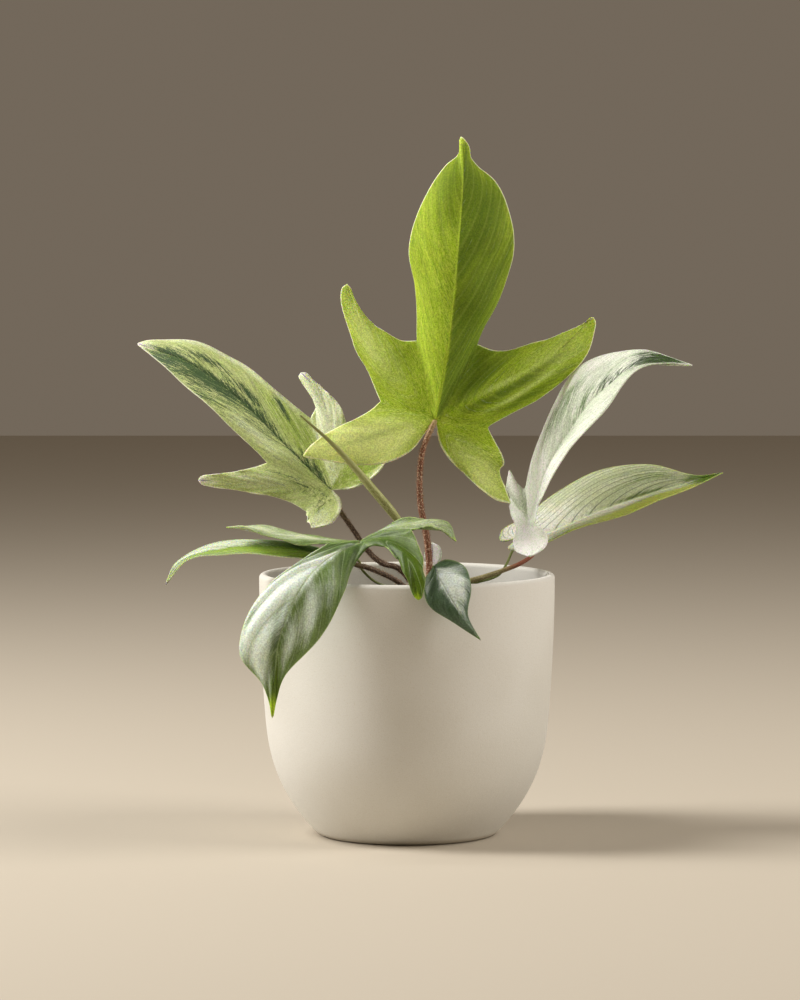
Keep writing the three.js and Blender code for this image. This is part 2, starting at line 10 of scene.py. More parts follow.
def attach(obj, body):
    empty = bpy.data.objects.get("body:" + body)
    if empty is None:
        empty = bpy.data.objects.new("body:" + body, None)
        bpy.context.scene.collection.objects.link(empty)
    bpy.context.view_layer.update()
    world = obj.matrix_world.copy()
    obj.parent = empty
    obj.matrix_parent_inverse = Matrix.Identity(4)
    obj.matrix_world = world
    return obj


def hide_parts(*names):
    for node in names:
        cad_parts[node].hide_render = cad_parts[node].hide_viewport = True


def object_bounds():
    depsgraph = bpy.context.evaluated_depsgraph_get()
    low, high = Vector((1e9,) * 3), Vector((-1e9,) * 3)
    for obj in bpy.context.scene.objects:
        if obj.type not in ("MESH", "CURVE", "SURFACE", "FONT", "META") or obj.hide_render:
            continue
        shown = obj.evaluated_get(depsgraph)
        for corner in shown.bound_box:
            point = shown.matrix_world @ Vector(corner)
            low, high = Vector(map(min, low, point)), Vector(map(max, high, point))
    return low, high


# Potted variegated philodendron. Sizes in the settings are in millimetres, except on the stage.

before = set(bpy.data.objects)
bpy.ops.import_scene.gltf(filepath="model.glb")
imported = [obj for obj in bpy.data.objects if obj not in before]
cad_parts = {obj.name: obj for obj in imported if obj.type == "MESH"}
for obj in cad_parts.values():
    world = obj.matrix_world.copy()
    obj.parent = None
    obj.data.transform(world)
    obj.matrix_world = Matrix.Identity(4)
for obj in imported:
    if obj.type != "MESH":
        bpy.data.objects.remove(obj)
cadBox = [[float(value) for value in corner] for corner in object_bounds()]
mm = 0.001
print("frame loaded:", len(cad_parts), "nodes")


# Node helpers

def tint(red, green, blue):
    def linear(value):
        value /= 255
        return value / 12.92 if value <= 0.04045 else ((value + 0.055) / 1.055) ** 2.4
    return (linear(red), linear(green), linear(blue), 1)


def setInputs(tree, made, inputs):
    for key, value in inputs.items():
        if isinstance(value, bpy.types.NodeSocket):
            tree.links.new(value, made.inputs[key])
        else:
            made.inputs[key].default_value = value


def addNode(tree, kind, inputs=None, **settings):
    made = tree.nodes.new("ShaderNode" + kind)
    for key, value in settings.items():
        setattr(made, key, value)
    setInputs(tree, made, inputs or {})
    return made


def placeGroup(tree, group, inputs):
    made = addNode(tree, "Group", node_tree=group)
    setInputs(tree, made, inputs)
    return made.outputs


def calc(tree, operation, first, second=0.0, third=0.0):
    return addNode(tree, "Math", {0: first, 1: second, 2: third}, operation=operation).outputs[0]


def fade(tree, value, low, high, start=0.0, end=1.0):
    # a soft step from start to end while value goes from low to high
    made = addNode(tree, "MapRange", {"Value": value, "From Min": low, "From Max": high,
                                      "To Min": start, "To Max": end}, interpolation_type="SMOOTHSTEP")
    return made.outputs[0]


def mixColour(tree, share, first, second, blend="MIX"):
    made = addNode(tree, "Mix", {0: share, 6: first, 7: second}, data_type="RGBA", blend_type=blend)
    return made.outputs[2]


def addTint(tree, colour, value, look, key):
    # lays look[key] over the colour as the value goes through its "From" range, up to its "Share"
    share = fade(tree, value, *look[key + "From"], 0.0, look.get(key + "Share", 1.0))
    return mixColour(tree, share, colour, look[key])


def newGroup(name, ins, outs):
    # ins gives each input's name and its value, or None for a vector
    tree = bpy.data.node_groups.new(name, "ShaderNodeTree")
    for socketName, value in ins.items():
        kind = "NodeSocketVector" if value is None else "NodeSocketFloat"
        made = tree.interface.new_socket(socketName, in_out="INPUT", socket_type=kind)
        if value is not None:
            made.default_value = value
    for socketName in outs:
        tree.interface.new_socket(socketName, in_out="OUTPUT", socket_type="NodeSocketFloat")
    return tree, tree.nodes.new("NodeGroupInput").outputs, tree.nodes.new("NodeGroupOutput").inputs


def newMaterial(name):
    material = bpy.data.materials.new(name)
    material.use_nodes = True
    material.node_tree.nodes.clear()
    return material, material.node_tree


def finishMaterial(tree, colour, rough, more=None, height=None, bump=1.0):
    inputs = {"Base Color": colour, "Roughness": rough, **(more or {})}
    if height is not None:
        dents = addNode(tree, "Bump", {"Height": height, "Strength": bump, "Distance": mm})
        inputs["Normal"] = dents.outputs[0]
    shader = addNode(tree, "BsdfPrincipled", inputs)
    addNode(tree, "OutputMaterial", {"Surface": shader.outputs[0]})


# Effects that several materials share

def makeStreaks():
    # streaks that follow the side veins: x of the vein map runs across them, y along them, both in mm
    tree, ins, outs = newGroup("veinStreaks", {
        "Map": None, "Fleck Width": 0.8, "Fleck Length": 4, "Cloud Width": 6, "Cloud Length": 25, "Seed": 0},
        ["Broad", "Fine"])
    parts = addNode(tree, "SeparateXYZ", {0: ins["Map"]}).outputs
    for kind, out, detail in (("Cloud", "Broad", 3.0), ("Fleck", "Fine", 4.0)):
        place = addNode(tree, "CombineXYZ", {0: calc(tree, "DIVIDE", parts[0], ins[kind + " Width"]),
                                             1: calc(tree, "DIVIDE", parts[1], ins[kind + " Length"]),
                                             2: ins["Seed"]})
        streak = addNode(tree, "TexNoise", {"Vector": place.outputs[0], "Scale": 1.0, "Detail": detail,
                                            "Roughness": 0.65})
        tree.links.new(streak.outputs[0], outs[out])
    return tree


def makeSideVeins():
    # thin lines that run from the rib to the margin, and the crowns between them
    tree, ins, outs = newGroup("sideVeins", {"Map": None, "Gap": 12, "Width": 0.1, "Wander": 0.2},
                               ["Line", "Crown"])
    parts = addNode(tree, "SeparateXYZ", {0: ins["Map"]}).outputs
    sway = addNode(tree, "TexNoise", {"Vector": ins["Map"], "Scale": 0.08, "Detail": 1.0}).outputs[0]
    swayed = calc(tree, "MULTIPLY_ADD", calc(tree, "SUBTRACT", sway, 0.5), ins["Wander"],
                  calc(tree, "DIVIDE", parts[0], ins["Gap"]))
    away = calc(tree, "PINGPONG", swayed, 0.5)
    line = fade(tree, away, 0.0, ins["Width"], 1.0, 0.0)
    tree.links.new(line, outs["Line"])
    tree.links.new(calc(tree, "MULTIPLY", away, 2.0), outs["Crown"])
    return tree


def makeGrain():
    # fine grain in the object's own space, and clouds about thirty times as large
    tree, ins, outs = newGroup("fineGrain", {"Place": None, "Size": 0.5}, ["Grain", "Cloud"])
    scale = calc(tree, "DIVIDE", 1000.0, ins["Size"])
    grain = addNode(tree, "TexNoise", {"Vector": ins["Place"], "Scale": scale, "Detail": 3.0})
    cloud = addNode(tree, "TexNoise", {"Vector": ins["Place"], "Detail": 2.0,
                                       "Scale": calc(tree, "MULTIPLY", scale, 0.03)})
    tree.links.new(grain.outputs[0], outs["Grain"])
    tree.links.new(cloud.outputs[0], outs["Cloud"])
    return tree


veinStreaks = makeStreaks()
sideVeins = makeSideVeins()
fineGrain = makeGrain()


def placeGrain(tree, size):
    place = addNode(tree, "TexCoord").outputs["Object"]
    return placeGroup(tree, fineGrain, {"Place": place, "Size": size})


grainyLook = {
    "size": 0.9, "coarse": 3.5, "secondFrom": (0.38, 0.62), "fleckFrom": (0.54, 0.68), "fleckShare": 0.6,
    "roughness": 0.65, "bump": 1.0,
}


def grainyMaterial(name, look, more=None):
    # two tints in coarse patches, with flecks in the fine grain
    look = {**grainyLook, **look}
    material, tree = newMaterial(name)
    grain = placeGrain(tree, look["size"])["Grain"]
    coarse = placeGrain(tree, look["coarse"])["Grain"]
    colour = addTint(tree, look["base"], coarse, look, "second")
    colour = addTint(tree, colour, grain, look, "fleck")
    finishMaterial(tree, colour, look["roughness"], more, grain, look["bump"])
    return material


# What every leaf's look starts from. Distances are in mm, shares from 0 to 1.
leafLook = {
    "fleck": (0.7, 4.0), "cloud": (7, 28),      # width and length of the fine and the broad streaks
    "seed": 0, "veinGap": 13, "veinWidth": 0.1, "veinShare": 0.1, "veinWander": 0.15,
    "secondFrom": (0.36, 0.64), "streakFrom": (0.42, 0.68), "streakShare": 0.5,
    "fineShare": 0.7, "broadShare": 0.5, "streakMiddle": 0.6,   # how the streaks ruffle a patch's margin
    "feather": (0.36, 0.64), "ruffle": 1.2, "flecks": 0.0,     # how ragged the patches are, and stray flecks
    # the sheen settings below paint a highlight into the colour, on the crowns between the side veins
    "darkShare": 0.9, "paleShare": 1.0, "freshShare": 1.0, "shineShare": 1.0, "shine": (1, 1, 1, 1),
    "paintedSheenRuffle": 0.9, "paintedSheenMiddle": 0.7, "paintedSheenStripes": 0.6, "paintedSheenFrom": (0.15, 0.85),
    "ribCore": 0.35, "edgeCore": 0.1, "tipFrom": (0.2, 0.9),
    "grain": 0.7, "speckleFrom": (0.35, 0.65), "speckle": (0.84, 1.16),
    "veinBump": 0.1, "streakBump": 0.05, "grainBump": 0.05,
    "roughness": 0.45, "roughFrom": (0.35, 0.7), "roughSpread": (0.05, 0.08), "glossy": 0.3, "specular": 0.5,
    "glow": 1.0, "glowReach": (0.7, 1.0, 0.25), "glowScale": 0.9,
}


def leafMaterial(name, look, **changes):
    look = {**look, **changes}
    material, tree = newMaterial(name)
    veinMap = addNode(tree, "UVMap", uv_map="veinMap").outputs[0]
    streak = placeGroup(tree, veinStreaks, {
        "Map": veinMap, "Fleck Width": look["fleck"][0], "Fleck Length": look["fleck"][1],
        "Cloud Width": look["cloud"][0], "Cloud Length": look["cloud"][1], "Seed": look["seed"]})
    vein = placeGroup(tree, sideVeins, {"Map": veinMap, "Gap": look["veinGap"],
                                        "Width": look["veinWidth"], "Wander": look["veinWander"]})
    grain = placeGrain(tree, look["grain"])["Grain"]
    marks = {kind: addNode(tree, "Attribute", attribute_name=kind).outputs["Fac"] for kind in
             ("ribNear", "edgeNear", "darkPatch", "palePatch", "freshPatch", "shinePatch", "tipShare")}
    mixed = calc(tree, "ADD", calc(tree, "MULTIPLY", streak["Fine"], look["fineShare"]),
                 calc(tree, "MULTIPLY", streak["Broad"], look["broadShare"]))
    ruffle = calc(tree, "SUBTRACT", mixed, look["streakMiddle"])

    colour = addTint(tree, look["base"], streak["Broad"], look, "second")
    colour = addTint(tree, colour, streak["Fine"], look, "streak")
    # the dark and pale patches are partly the leaves' own variegation, partly painted shade and painted light
    for kind in ("fresh", "pale", "dark"):
        feather = calc(tree, "MULTIPLY_ADD", ruffle, look["ruffle"], marks[kind + "Patch"])
        if kind == "dark":
            feather = calc(tree, "ADD", feather, look["flecks"])
        share = fade(tree, feather, *look["feather"], 0.0, look[kind + "Share"])
        colour = mixColour(tree, share, colour, look[kind])
    # the painted sheen, a painted highlight, gathers on the crowns between the side veins
    feather = calc(tree, "MULTIPLY_ADD", ruffle, look["paintedSheenRuffle"], marks["shinePatch"])
    crown = calc(tree, "SUBTRACT", vein["Crown"], look["paintedSheenMiddle"])
    feather = calc(tree, "MULTIPLY_ADD", crown, look["paintedSheenStripes"], feather)
    shine = fade(tree, feather, *look["paintedSheenFrom"])
    colour = mixColour(tree, calc(tree, "MULTIPLY", shine, look["shineShare"]), colour, look["shine"])
    colour = mixColour(tree, calc(tree, "MULTIPLY", vein["Line"], look["veinShare"]), colour, look["vein"])
    rib = fade(tree, marks["ribNear"], look["ribWidth"], look["ribWidth"] * look["ribCore"], 0.0,
               look["ribShare"])
    colour = mixColour(tree, rib, colour, look["rib"])
    colour = addTint(tree, colour, marks["tipShare"], look, "tip")
    # the margin band is partly the leaf's own pale margin, partly painted rim light
    edge = fade(tree, marks["edgeNear"], look["edgeWidth"], look["edgeCore"], 0.0, look["edgeShare"])
    colour = mixColour(tree, edge, colour, look["edge"])
    speckle = fade(tree, grain, *look["speckleFrom"], *look["speckle"])
    speckles = addNode(tree, "CombineColor", {0: speckle, 1: speckle, 2: speckle}).outputs[0]
    colour = mixColour(tree, 1.0, colour, speckles, "MULTIPLY")

    height = calc(tree, "MULTIPLY_ADD", vein["Line"], look["veinBump"],
                  calc(tree, "MULTIPLY", streak["Fine"], look["streakBump"]))
    height = calc(tree, "MULTIPLY_ADD", grain, look["grainBump"], height)
    smoother, rougher = look["roughSpread"]
    rough = fade(tree, streak["Fine"], *look["roughFrom"], look["roughness"] - smoother,
                 look["roughness"] + rougher)
    rough = addNode(tree, "Mix", {0: shine, 2: rough, 3: look["glossy"]}).outputs[0]
    finishMaterial(tree, colour, rough, {
        "IOR": 1.45, "Specular IOR Level": look["specular"], "Subsurface Weight": look["glow"],
        "Subsurface Radius": look["glowReach"], "Subsurface Scale": look["glowScale"] * mm}, height)
    return material


def finishPiece(name, bm, materials, node, thickness=0, rim=None):
    # brings the piece to metres; rim is how far it keeps within the solids' own box, in mm
    bmesh.ops.scale(bm, vec=(mm, mm, mm), verts=bm.verts)
    if rim:
        for vert in bm.verts:
            for axis in range(3):
                low, high = cadBox[0][axis] + rim * mm, cadBox[1][axis] - rim * mm
                vert.co[axis] = min(max(vert.co[axis], low), high)
    mesh = bpy.data.meshes.new(name)
    bm.to_mesh(mesh)
    bm.free()
    for material in materials:
        mesh.materials.append(material)
    mesh.shade_smooth()
    piece = bpy.data.objects.new(name, mesh)
    bpy.context.collection.objects.link(piece)
    if thickness:
        skin = piece.modifiers.new("thickness", "SOLIDIFY")
        skin.thickness = thickness * mm
        skin.offset = 0
        skin.material_offset = len(materials) - 1       # a blade's back takes its second material
    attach(piece, "root")
    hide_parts(node)
    print(name.replace("_", " "), "made")


# Curves through given points: centripetal, walked by length like a tape measure

def smoothCurve(points):
    points = [Vector(point) for point in points]
    ends = [points[0] * 2 - points[1]] + points + [points[-1] * 2 - points[-2]]

    def onSegment(t):
        place = t * (len(points) - 1)
        index = min(int(place), len(points) - 2)
        share = place - index
        a, b, c, d = ends[index:index + 4]
        gaps = [max((q - p).length, 1e-6) ** 0.5 for p, q in ((a, b), (b, c), (c, d))]
        out = ((b - a) / gaps[0] - (c - a) / (gaps[0] + gaps[1]) + (c - b) / gaps[1]) * gaps[1]
        into = ((c - b) / gaps[1] - (d - b) / (gaps[1] + gaps[2]) + (d - c) / gaps[2]) * gaps[1]
        return (b + out * share + ((c - b) * 3 - out * 2 - into) * share ** 2
                + ((b - c) * 2 + out + into) * share ** 3)

    steps = 200
    spots = [onSegment(step / steps) for step in range(steps + 1)]
    walked = [0.0]
    for last, here in zip(spots, spots[1:]):
        walked.append(walked[-1] + (here - last).length)

    def at(share):
        target = min(max(share, 0.0), 1.0) * walked[-1]
        index = min(max(bisect_left(walked, target), 1), steps)
        gap = walked[index] - walked[index - 1]
        return onSegment((index - 1 + (target - walked[index - 1]) / max(gap, 1e-9)) / steps)

    def heading(share):
        low, high = max(0.0, share - 1e-3), min(1.0, share + 1e-3)
        return (at(high) - at(low)).normalized()

    return {"at": at, "heading": heading, "length": walked[-1]}


# Leaves. Each lobe is a grid: x runs over the rib from the rising margin to the falling one, y runs
# from the joint to the tip. The margins start and end at the notches between the lobes, the sinuses,
# and the lobes are welded along the lines from the joint to those.
# "tips" says where each lobe's tip colour starts and is full, as shares of the lobe's length.
# A patch of colour is (lobe, middle, reach, strength, side): middle and reach are along and across the
# lobe, the rib is 0 across and the margins are -1 and 1, and a side of 1 or -1 keeps it to one half.

bladeMaking = {
    "columns": 22,              # faces from the rib to a margin
    "rowStep": 1.35, "leastRows": 8,
    "sweep": 1.4,               # above 1 the side veins lean towards the tip
    "lean": 0.2,                # how much further they lean towards the margin, where a leaf gives no other
    "leanPower": 1.6,
    "sectorStep": 400, "halfWidth": 30,     # places of the lobes in the vein map
    "arch": 0.07, "archStart": 0.25,
    "waves": 2.5, "waveStart": (1, 2.6),
    "blend": 20, "blendPasses": 240,        # how far from the joint the seams are evened out, and how often
    "faintRib": 2.6,            # keeps the ribs of the side lobes from standing out
    "ribThinning": 0.75, "veinSharp": 0.09, "unevenScale": 0.05, "unevenStart": 0.1,
    "fullQuilt": 80,            # lobes shorter than this are less quilted
    "calm": {"rib": 0.15, "margin": 0.2, "joint": 0.06, "tip": 0.12},       # where the quilting dies away
    "weld": 0.01, "ribHold": 0.02,
    "thickness": 0.55, "rim": 0.3,
}


def placeLobe(bm, leaf, number, layers):
    made = bladeMaking
    lobe = leaf["lobes"][number]
    before = leaf["lobes"][number - 1]["sinus"] if number > 0 else leaf["joint"]
    after = lobe.get("sinus", leaf["joint"])
    rib = smoothCurve([leaf["joint"], *lobe["rib"], lobe["tip"]])
    rise = smoothCurve([before, *lobe["rise"], lobe["tip"]])
    fall = smoothCurve([lobe["tip"], *lobe["fall"], after])
    rows = max(made["leastRows"], round(rib["length"] / made["rowStep"]))
    grid = bmesh.ops.create_grid(bm, x_segments=2 * made["columns"], y_segments=rows, size=1)["verts"]
    faint = 0 if number == leaf["main"] else made["faintRib"]
    byRow = {}
    for vert in grid:
        byRow.setdefault(round((vert.co.y + 1) / 2 * rows), []).append(vert)
    for row, verts in byRow.items():
        u = row / rows
        along = u ** made["sweep"]
        middle, heading = rib["at"](along), rib["heading"](along)
        margins = (rise["at"](u), fall["at"](1 - u))
        ramp = min(1, u / made["archStart"])
        rising = ramp * ramp * (3 - 2 * ramp)
        for vert in verts:
            w = vert.co.x
            side, right = abs(w), w > 0
            across = margins[right] - middle
            point = middle + across * side
            if 0 < u < 1 and side > 1e-6:
                face = across.cross(heading) * (1 if right else -1)
                face.normalize()
                arch = made["arch"] * across.length * 4 * side * (1 - side) * rising
                wave = (leaf["wave"] * side ** 2 * math.sin(math.pi * u)
                        * math.sin(2 * math.pi * made["waves"] * u + made["waveStart"][right]))
                point += face * (arch + wave)
            vert.co = point
            values = {"along": u, "across": w, "lobe": number, "seam": u * rib["length"],
                      "ribNear": (across.length * side if u < 1 else 0) + faint,
                      "edgeNear": across.length * (1 - side), "length": rib["length"]}
            for key, value in values.items():
                vert[layers[key]] = value
    lean = leaf.get("lean", made["lean"])
    for face in {face for vert in grid for face in vert.link_faces}:
        middleX = sum(loop.vert[layers["across"]] for loop in face.loops)
        sector = number + (1 if middleX > 0 else 0)
        for loop in face.loops:
            u, w = loop.vert[layers["along"]], loop.vert[layers["across"]]
            loop[layers["veinMap"]].uv = (
                (u - lean * abs(w) ** made["leanPower"]) * rib["length"] + sector * made["sectorStep"],
                abs(w) * made["halfWidth"])


def patchShare(patches, number, u, w):
    share = 0
    for lobe, middle, reach, strength, *half in patches:
        if lobe == number and (not half or half[0] * w > 0.01):
            du, dw = (u - middle[0]) / reach[0], (w - middle[1]) / reach[1]
            share = max(share, strength * math.exp(-(du * du + dw * dw)))
    return share


def relief(bm, leaf, layers):
    # sunk ribs and side veins on the upper face, with the blade crowned between them
    made, calm = bladeMaking, bladeMaking["calm"]
    lean = leaf.get("lean", made["lean"])
    moves = []
    for vert in bm.verts:
        u, w, length = vert[layers["along"]], vert[layers["across"]], vert[layers["length"]]
        side = abs(w)
        slim = 1 - made["ribThinning"] * u
        dip = leaf["ribDepth"] * slim * math.exp(-(vert[layers["ribNear"]] / (leaf["ribWidth"] * slim)) ** 2)
        phase = (u - lean * side ** made["leanPower"]) * length / leaf["quiltGap"]
        room = min(1, side / calm["rib"]) * min(1, (1 - side) / calm["margin"])
        room = room * min(1, u / calm["joint"]) * min(1, (1 - u) / calm["tip"])
        room *= min(1, length / made["fullQuilt"]) ** 2
        crown = leaf["quilt"] * room * (math.sin(math.pi * phase) ** 2 - 0.5)
        near = abs(phase - round(phase))
        dip += leaf["veinDepth"] * room * math.exp(-(near / made["veinSharp"]) ** 2)
        uneven = noise.noise(vert.co * made["unevenScale"]) * leaf["uneven"] * min(1, u / made["unevenStart"])
        moves.append(vert.normal * (crown + uneven - dip) * leaf.get("upperSide", 1))
    for vert, move in zip(bm.verts, moves):
        vert.co += move


def makeBlade(leaf, materials):
    made = bladeMaking
    bm = bmesh.new()
    layers = {key: bm.verts.layers.float.new(key) for key in
              ("along", "across", "ribNear", "edgeNear", "seam", "length", "darkPatch", "palePatch",
               "freshPatch", "shinePatch", "tipShare")}
    layers["lobe"] = bm.verts.layers.int.new("lobe")
    layers["veinMap"] = bm.loops.layers.uv.new("veinMap")
    for number in range(len(leaf["lobes"])):
        placeLobe(bm, leaf, number, layers)
    for vert in bm.verts:
        u, w, lobe = vert[layers["along"]], vert[layers["across"]], vert[layers["lobe"]]
        for kind in ("dark", "pale", "fresh", "shine"):
            vert[layers[kind + "Patch"]] = patchShare(leaf.get(kind, ()), lobe, u, w)
        start, full = leaf["tips"][lobe]
        vert[layers["tipShare"]] = min(1, max(0, (u - start) / (full - start)))
    bmesh.ops.remove_doubles(bm, verts=bm.verts, dist=made["weld"])
    # even out the pleats between the lobes, but keep the main rib where it is
    reach = leaf.get("blend", made["blend"])
    loose = [vert for vert in bm.verts if vert[layers["seam"]] < reach and not vert.is_boundary
             and (abs(vert[layers["across"]]) > made["ribHold"] or vert[layers["lobe"]] != leaf["main"])]
    for turn in range(made["blendPasses"]):
        bmesh.ops.smooth_vert(bm, verts=loose, factor=0.5, use_axis_x=True, use_axis_y=True, use_axis_z=True)
    bm.normal_update()
    relief(bm, leaf, layers)
    finishPiece(leaf["piece"], bm, materials, leaf["node"], made["thickness"], made["rim"])


# The upright lime leaf: its underside faces the front, so its ribs stand out there
limeLeaf = {
    "piece": "lime_blade_skin", "node": "lime_leaf_blade", "slot": "lime_blade",
    "joint": (13.5, 2, 196.5), "main": 2, "wave": 0.8, "blend": 75,
    "upperSide": -1, "ribDepth": 0.35, "ribWidth": 1.6, "quiltGap": 16, "quilt": 0.12, "veinDepth": 0.04,
    "uneven": 1.4,
    "lobes": [
        # left basal lobe
        {"rib": [(-2.5, -1, 190.5), (-24.5, -6.5, 185.5)], "tip": (-49, -10.5, 180),
         "sinus": (-12.5, 6.5, 205),
         "rise": [(9.5, 0, 191.5), (1.5, -4, 182), (-10.5, -7, 176.5), (-31.5, -9, 176.5)],
         "fall": [(-45.5, -8.5, 184.5), (-34, -4, 193), (-23, 0, 197.5)]},
        # left side lobe
        {"rib": [(-2.5, 5, 211.5), (-18.5, 14.5, 234)], "tip": (-28.6, 25, 260.5),
         "sinus": (5, 15.5, 233.5),
         "rise": [(-17, 12, 215), (-26, 17.5, 233.5), (-31, 22, 249), (-31.7, 23.5, 255.7),
                  (-30.7, 24.3, 259.2)],
         "fall": [(-26.9, 24.5, 259), (-25.3, 23.9, 255.3), (-22.5, 22.2, 249), (-14.5, 18, 240.5),
                  (-3.5, 15.5, 234)]},
        # end lobe
        {"rib": [(18, 4.5, 220), (21.5, 8.5, 248.5), (24.5, 16, 281.5), (26.5, 26.5, 307.5)],
         "tip": (26.1, 39.2, 330.8), "sinus": (33, 16, 232),
         "rise": [(4.5, 20.5, 253), (1.5, 24, 276.5), (5.5, 28, 296.5), (19, 34.3, 316.5),
                  (24.8, 37, 321.6), (26.5, 38.5, 326.2)],
         "fall": [(29.3, 38.5, 326), (30.2, 37.6, 321.4), (34, 36.3, 316.8), (42, 34, 310),
                  (49.5, 29.5, 293), (51, 26, 276.5), (46, 23, 260)]},
        # right side lobe
        {"rib": [(34.5, 4.5, 205), (63.5, 13, 222)], "tip": (89.3, 26, 245.1), "sinus": (38, 6.5, 193),
         "rise": [(42.5, 14.5, 229), (63.5, 18.5, 233.5), (80.5, 22.5, 239.5), (86.3, 25, 243.5)],
         "fall": [(90.7, 25.5, 242.6), (89.9, 24.8, 237.1), (86, 22.5, 227.5), (76.5, 19, 216),
                  (60, 12.5, 204.5)]},
        # right basal lobe
        {"rib": [(23, 0.5, 183.5), (35.5, -2.5, 169.5)], "tip": (49, -7, 157.5),
         "rise": [(43, 3.5, 183.5), (46, 0, 175.5), (44, -0.5, 173.5), (46.5, -4.5, 164.5)],
         "fall": [(42, -6.5, 159), (27.5, -2, 170.5), (16.5, -0.5, 183)]},
    ],
    "tips": [(0.93, 1), (0.93, 1), (0.955, 1), (0.96, 1), (0.95, 1)],
    # most dark patches are painted shade: the end lobe's right half, the pleats of the right side lobe and
    # the fold near the joint; the rest are darker green near the tip and rib
    "dark": [(2, (0.3, 0.3), (0.6, 1), 0.92, 1), (2, (0.05, 0.5), (0.3, 1.2), 1.1, 1),
             (2, (0.75, 0.2), (0.3, 1), 1.1, 1), (3, (0.1, -0.6), (0.35, 0.7), 0.9),
             (3, (0.42, 0.14), (0.4, 0.22), 0.85), (3, (0.4, 0.72), (0.35, 0.2), 0.7),
             (4, (0.15, -0.4), (0.15, 0.5), 0.4), (2, (0.84, -0.5), (0.22, 0.9), 0.7),
             (2, (0.4, -0.05), (0.5, 0.14), 0.3), (0, (0.45, 0.15), (0.4, 0.22), 0.45),
             (2, (0.95, -0.2), (0.3, 0.9), 0.5)],
    "pale": [(0, (0.7, 0), (0.6, 1.8), 1.1), (4, (0.7, 0.1), (0.5, 1.5), 0.75),
             (1, (0.7, 0), (0.6, 1.4), 0.6), (3, (0.5, 0.47), (0.38, 0.13), 0.62),
             (3, (0.5, -0.15), (0.4, 0.16), 0.55), (3, (0.75, 0), (0.4, 1.2), 0.48)],
}
limeLook = {
    **leafLook, "fleck": (0.4, 1.6), "cloud": (4, 20), "seed": 1.3, "streakFrom": (0.42, 0.58),
    "feather": (0.15, 0.95), "ruffle": 1.1, "veinBump": 0.02, "roughness": 0.68, "specular": 0.18,
    "base": tint(144, 176, 20), "second": tint(120, 154, 12), "streak": tint(196, 208, 76),
    "streakShare": 0.8, "dark": tint(92, 118, 20), "darkShare": 0.85, "pale": tint(222, 231, 152),
    "paleShare": 0.95, "fresh": tint(176, 204, 60), "tip": tint(190, 210, 90),
    "rib": tint(190, 212, 72), "ribWidth": 0.9, "ribShare": 0.6, "vein": tint(196, 214, 96), "veinGap": 12,
    # the pale edge tint is partly painted rim light along the margin
    "veinWidth": 0.16, "veinShare": 0.14, "edge": tint(238, 242, 206), "edgeWidth": 0.8, "edgeShare": 0.85,
}
makeBlade(limeLeaf, [leafMaterial("limeUnderside", limeLook), leafMaterial("limeUpper", limeLook, seed=4)])

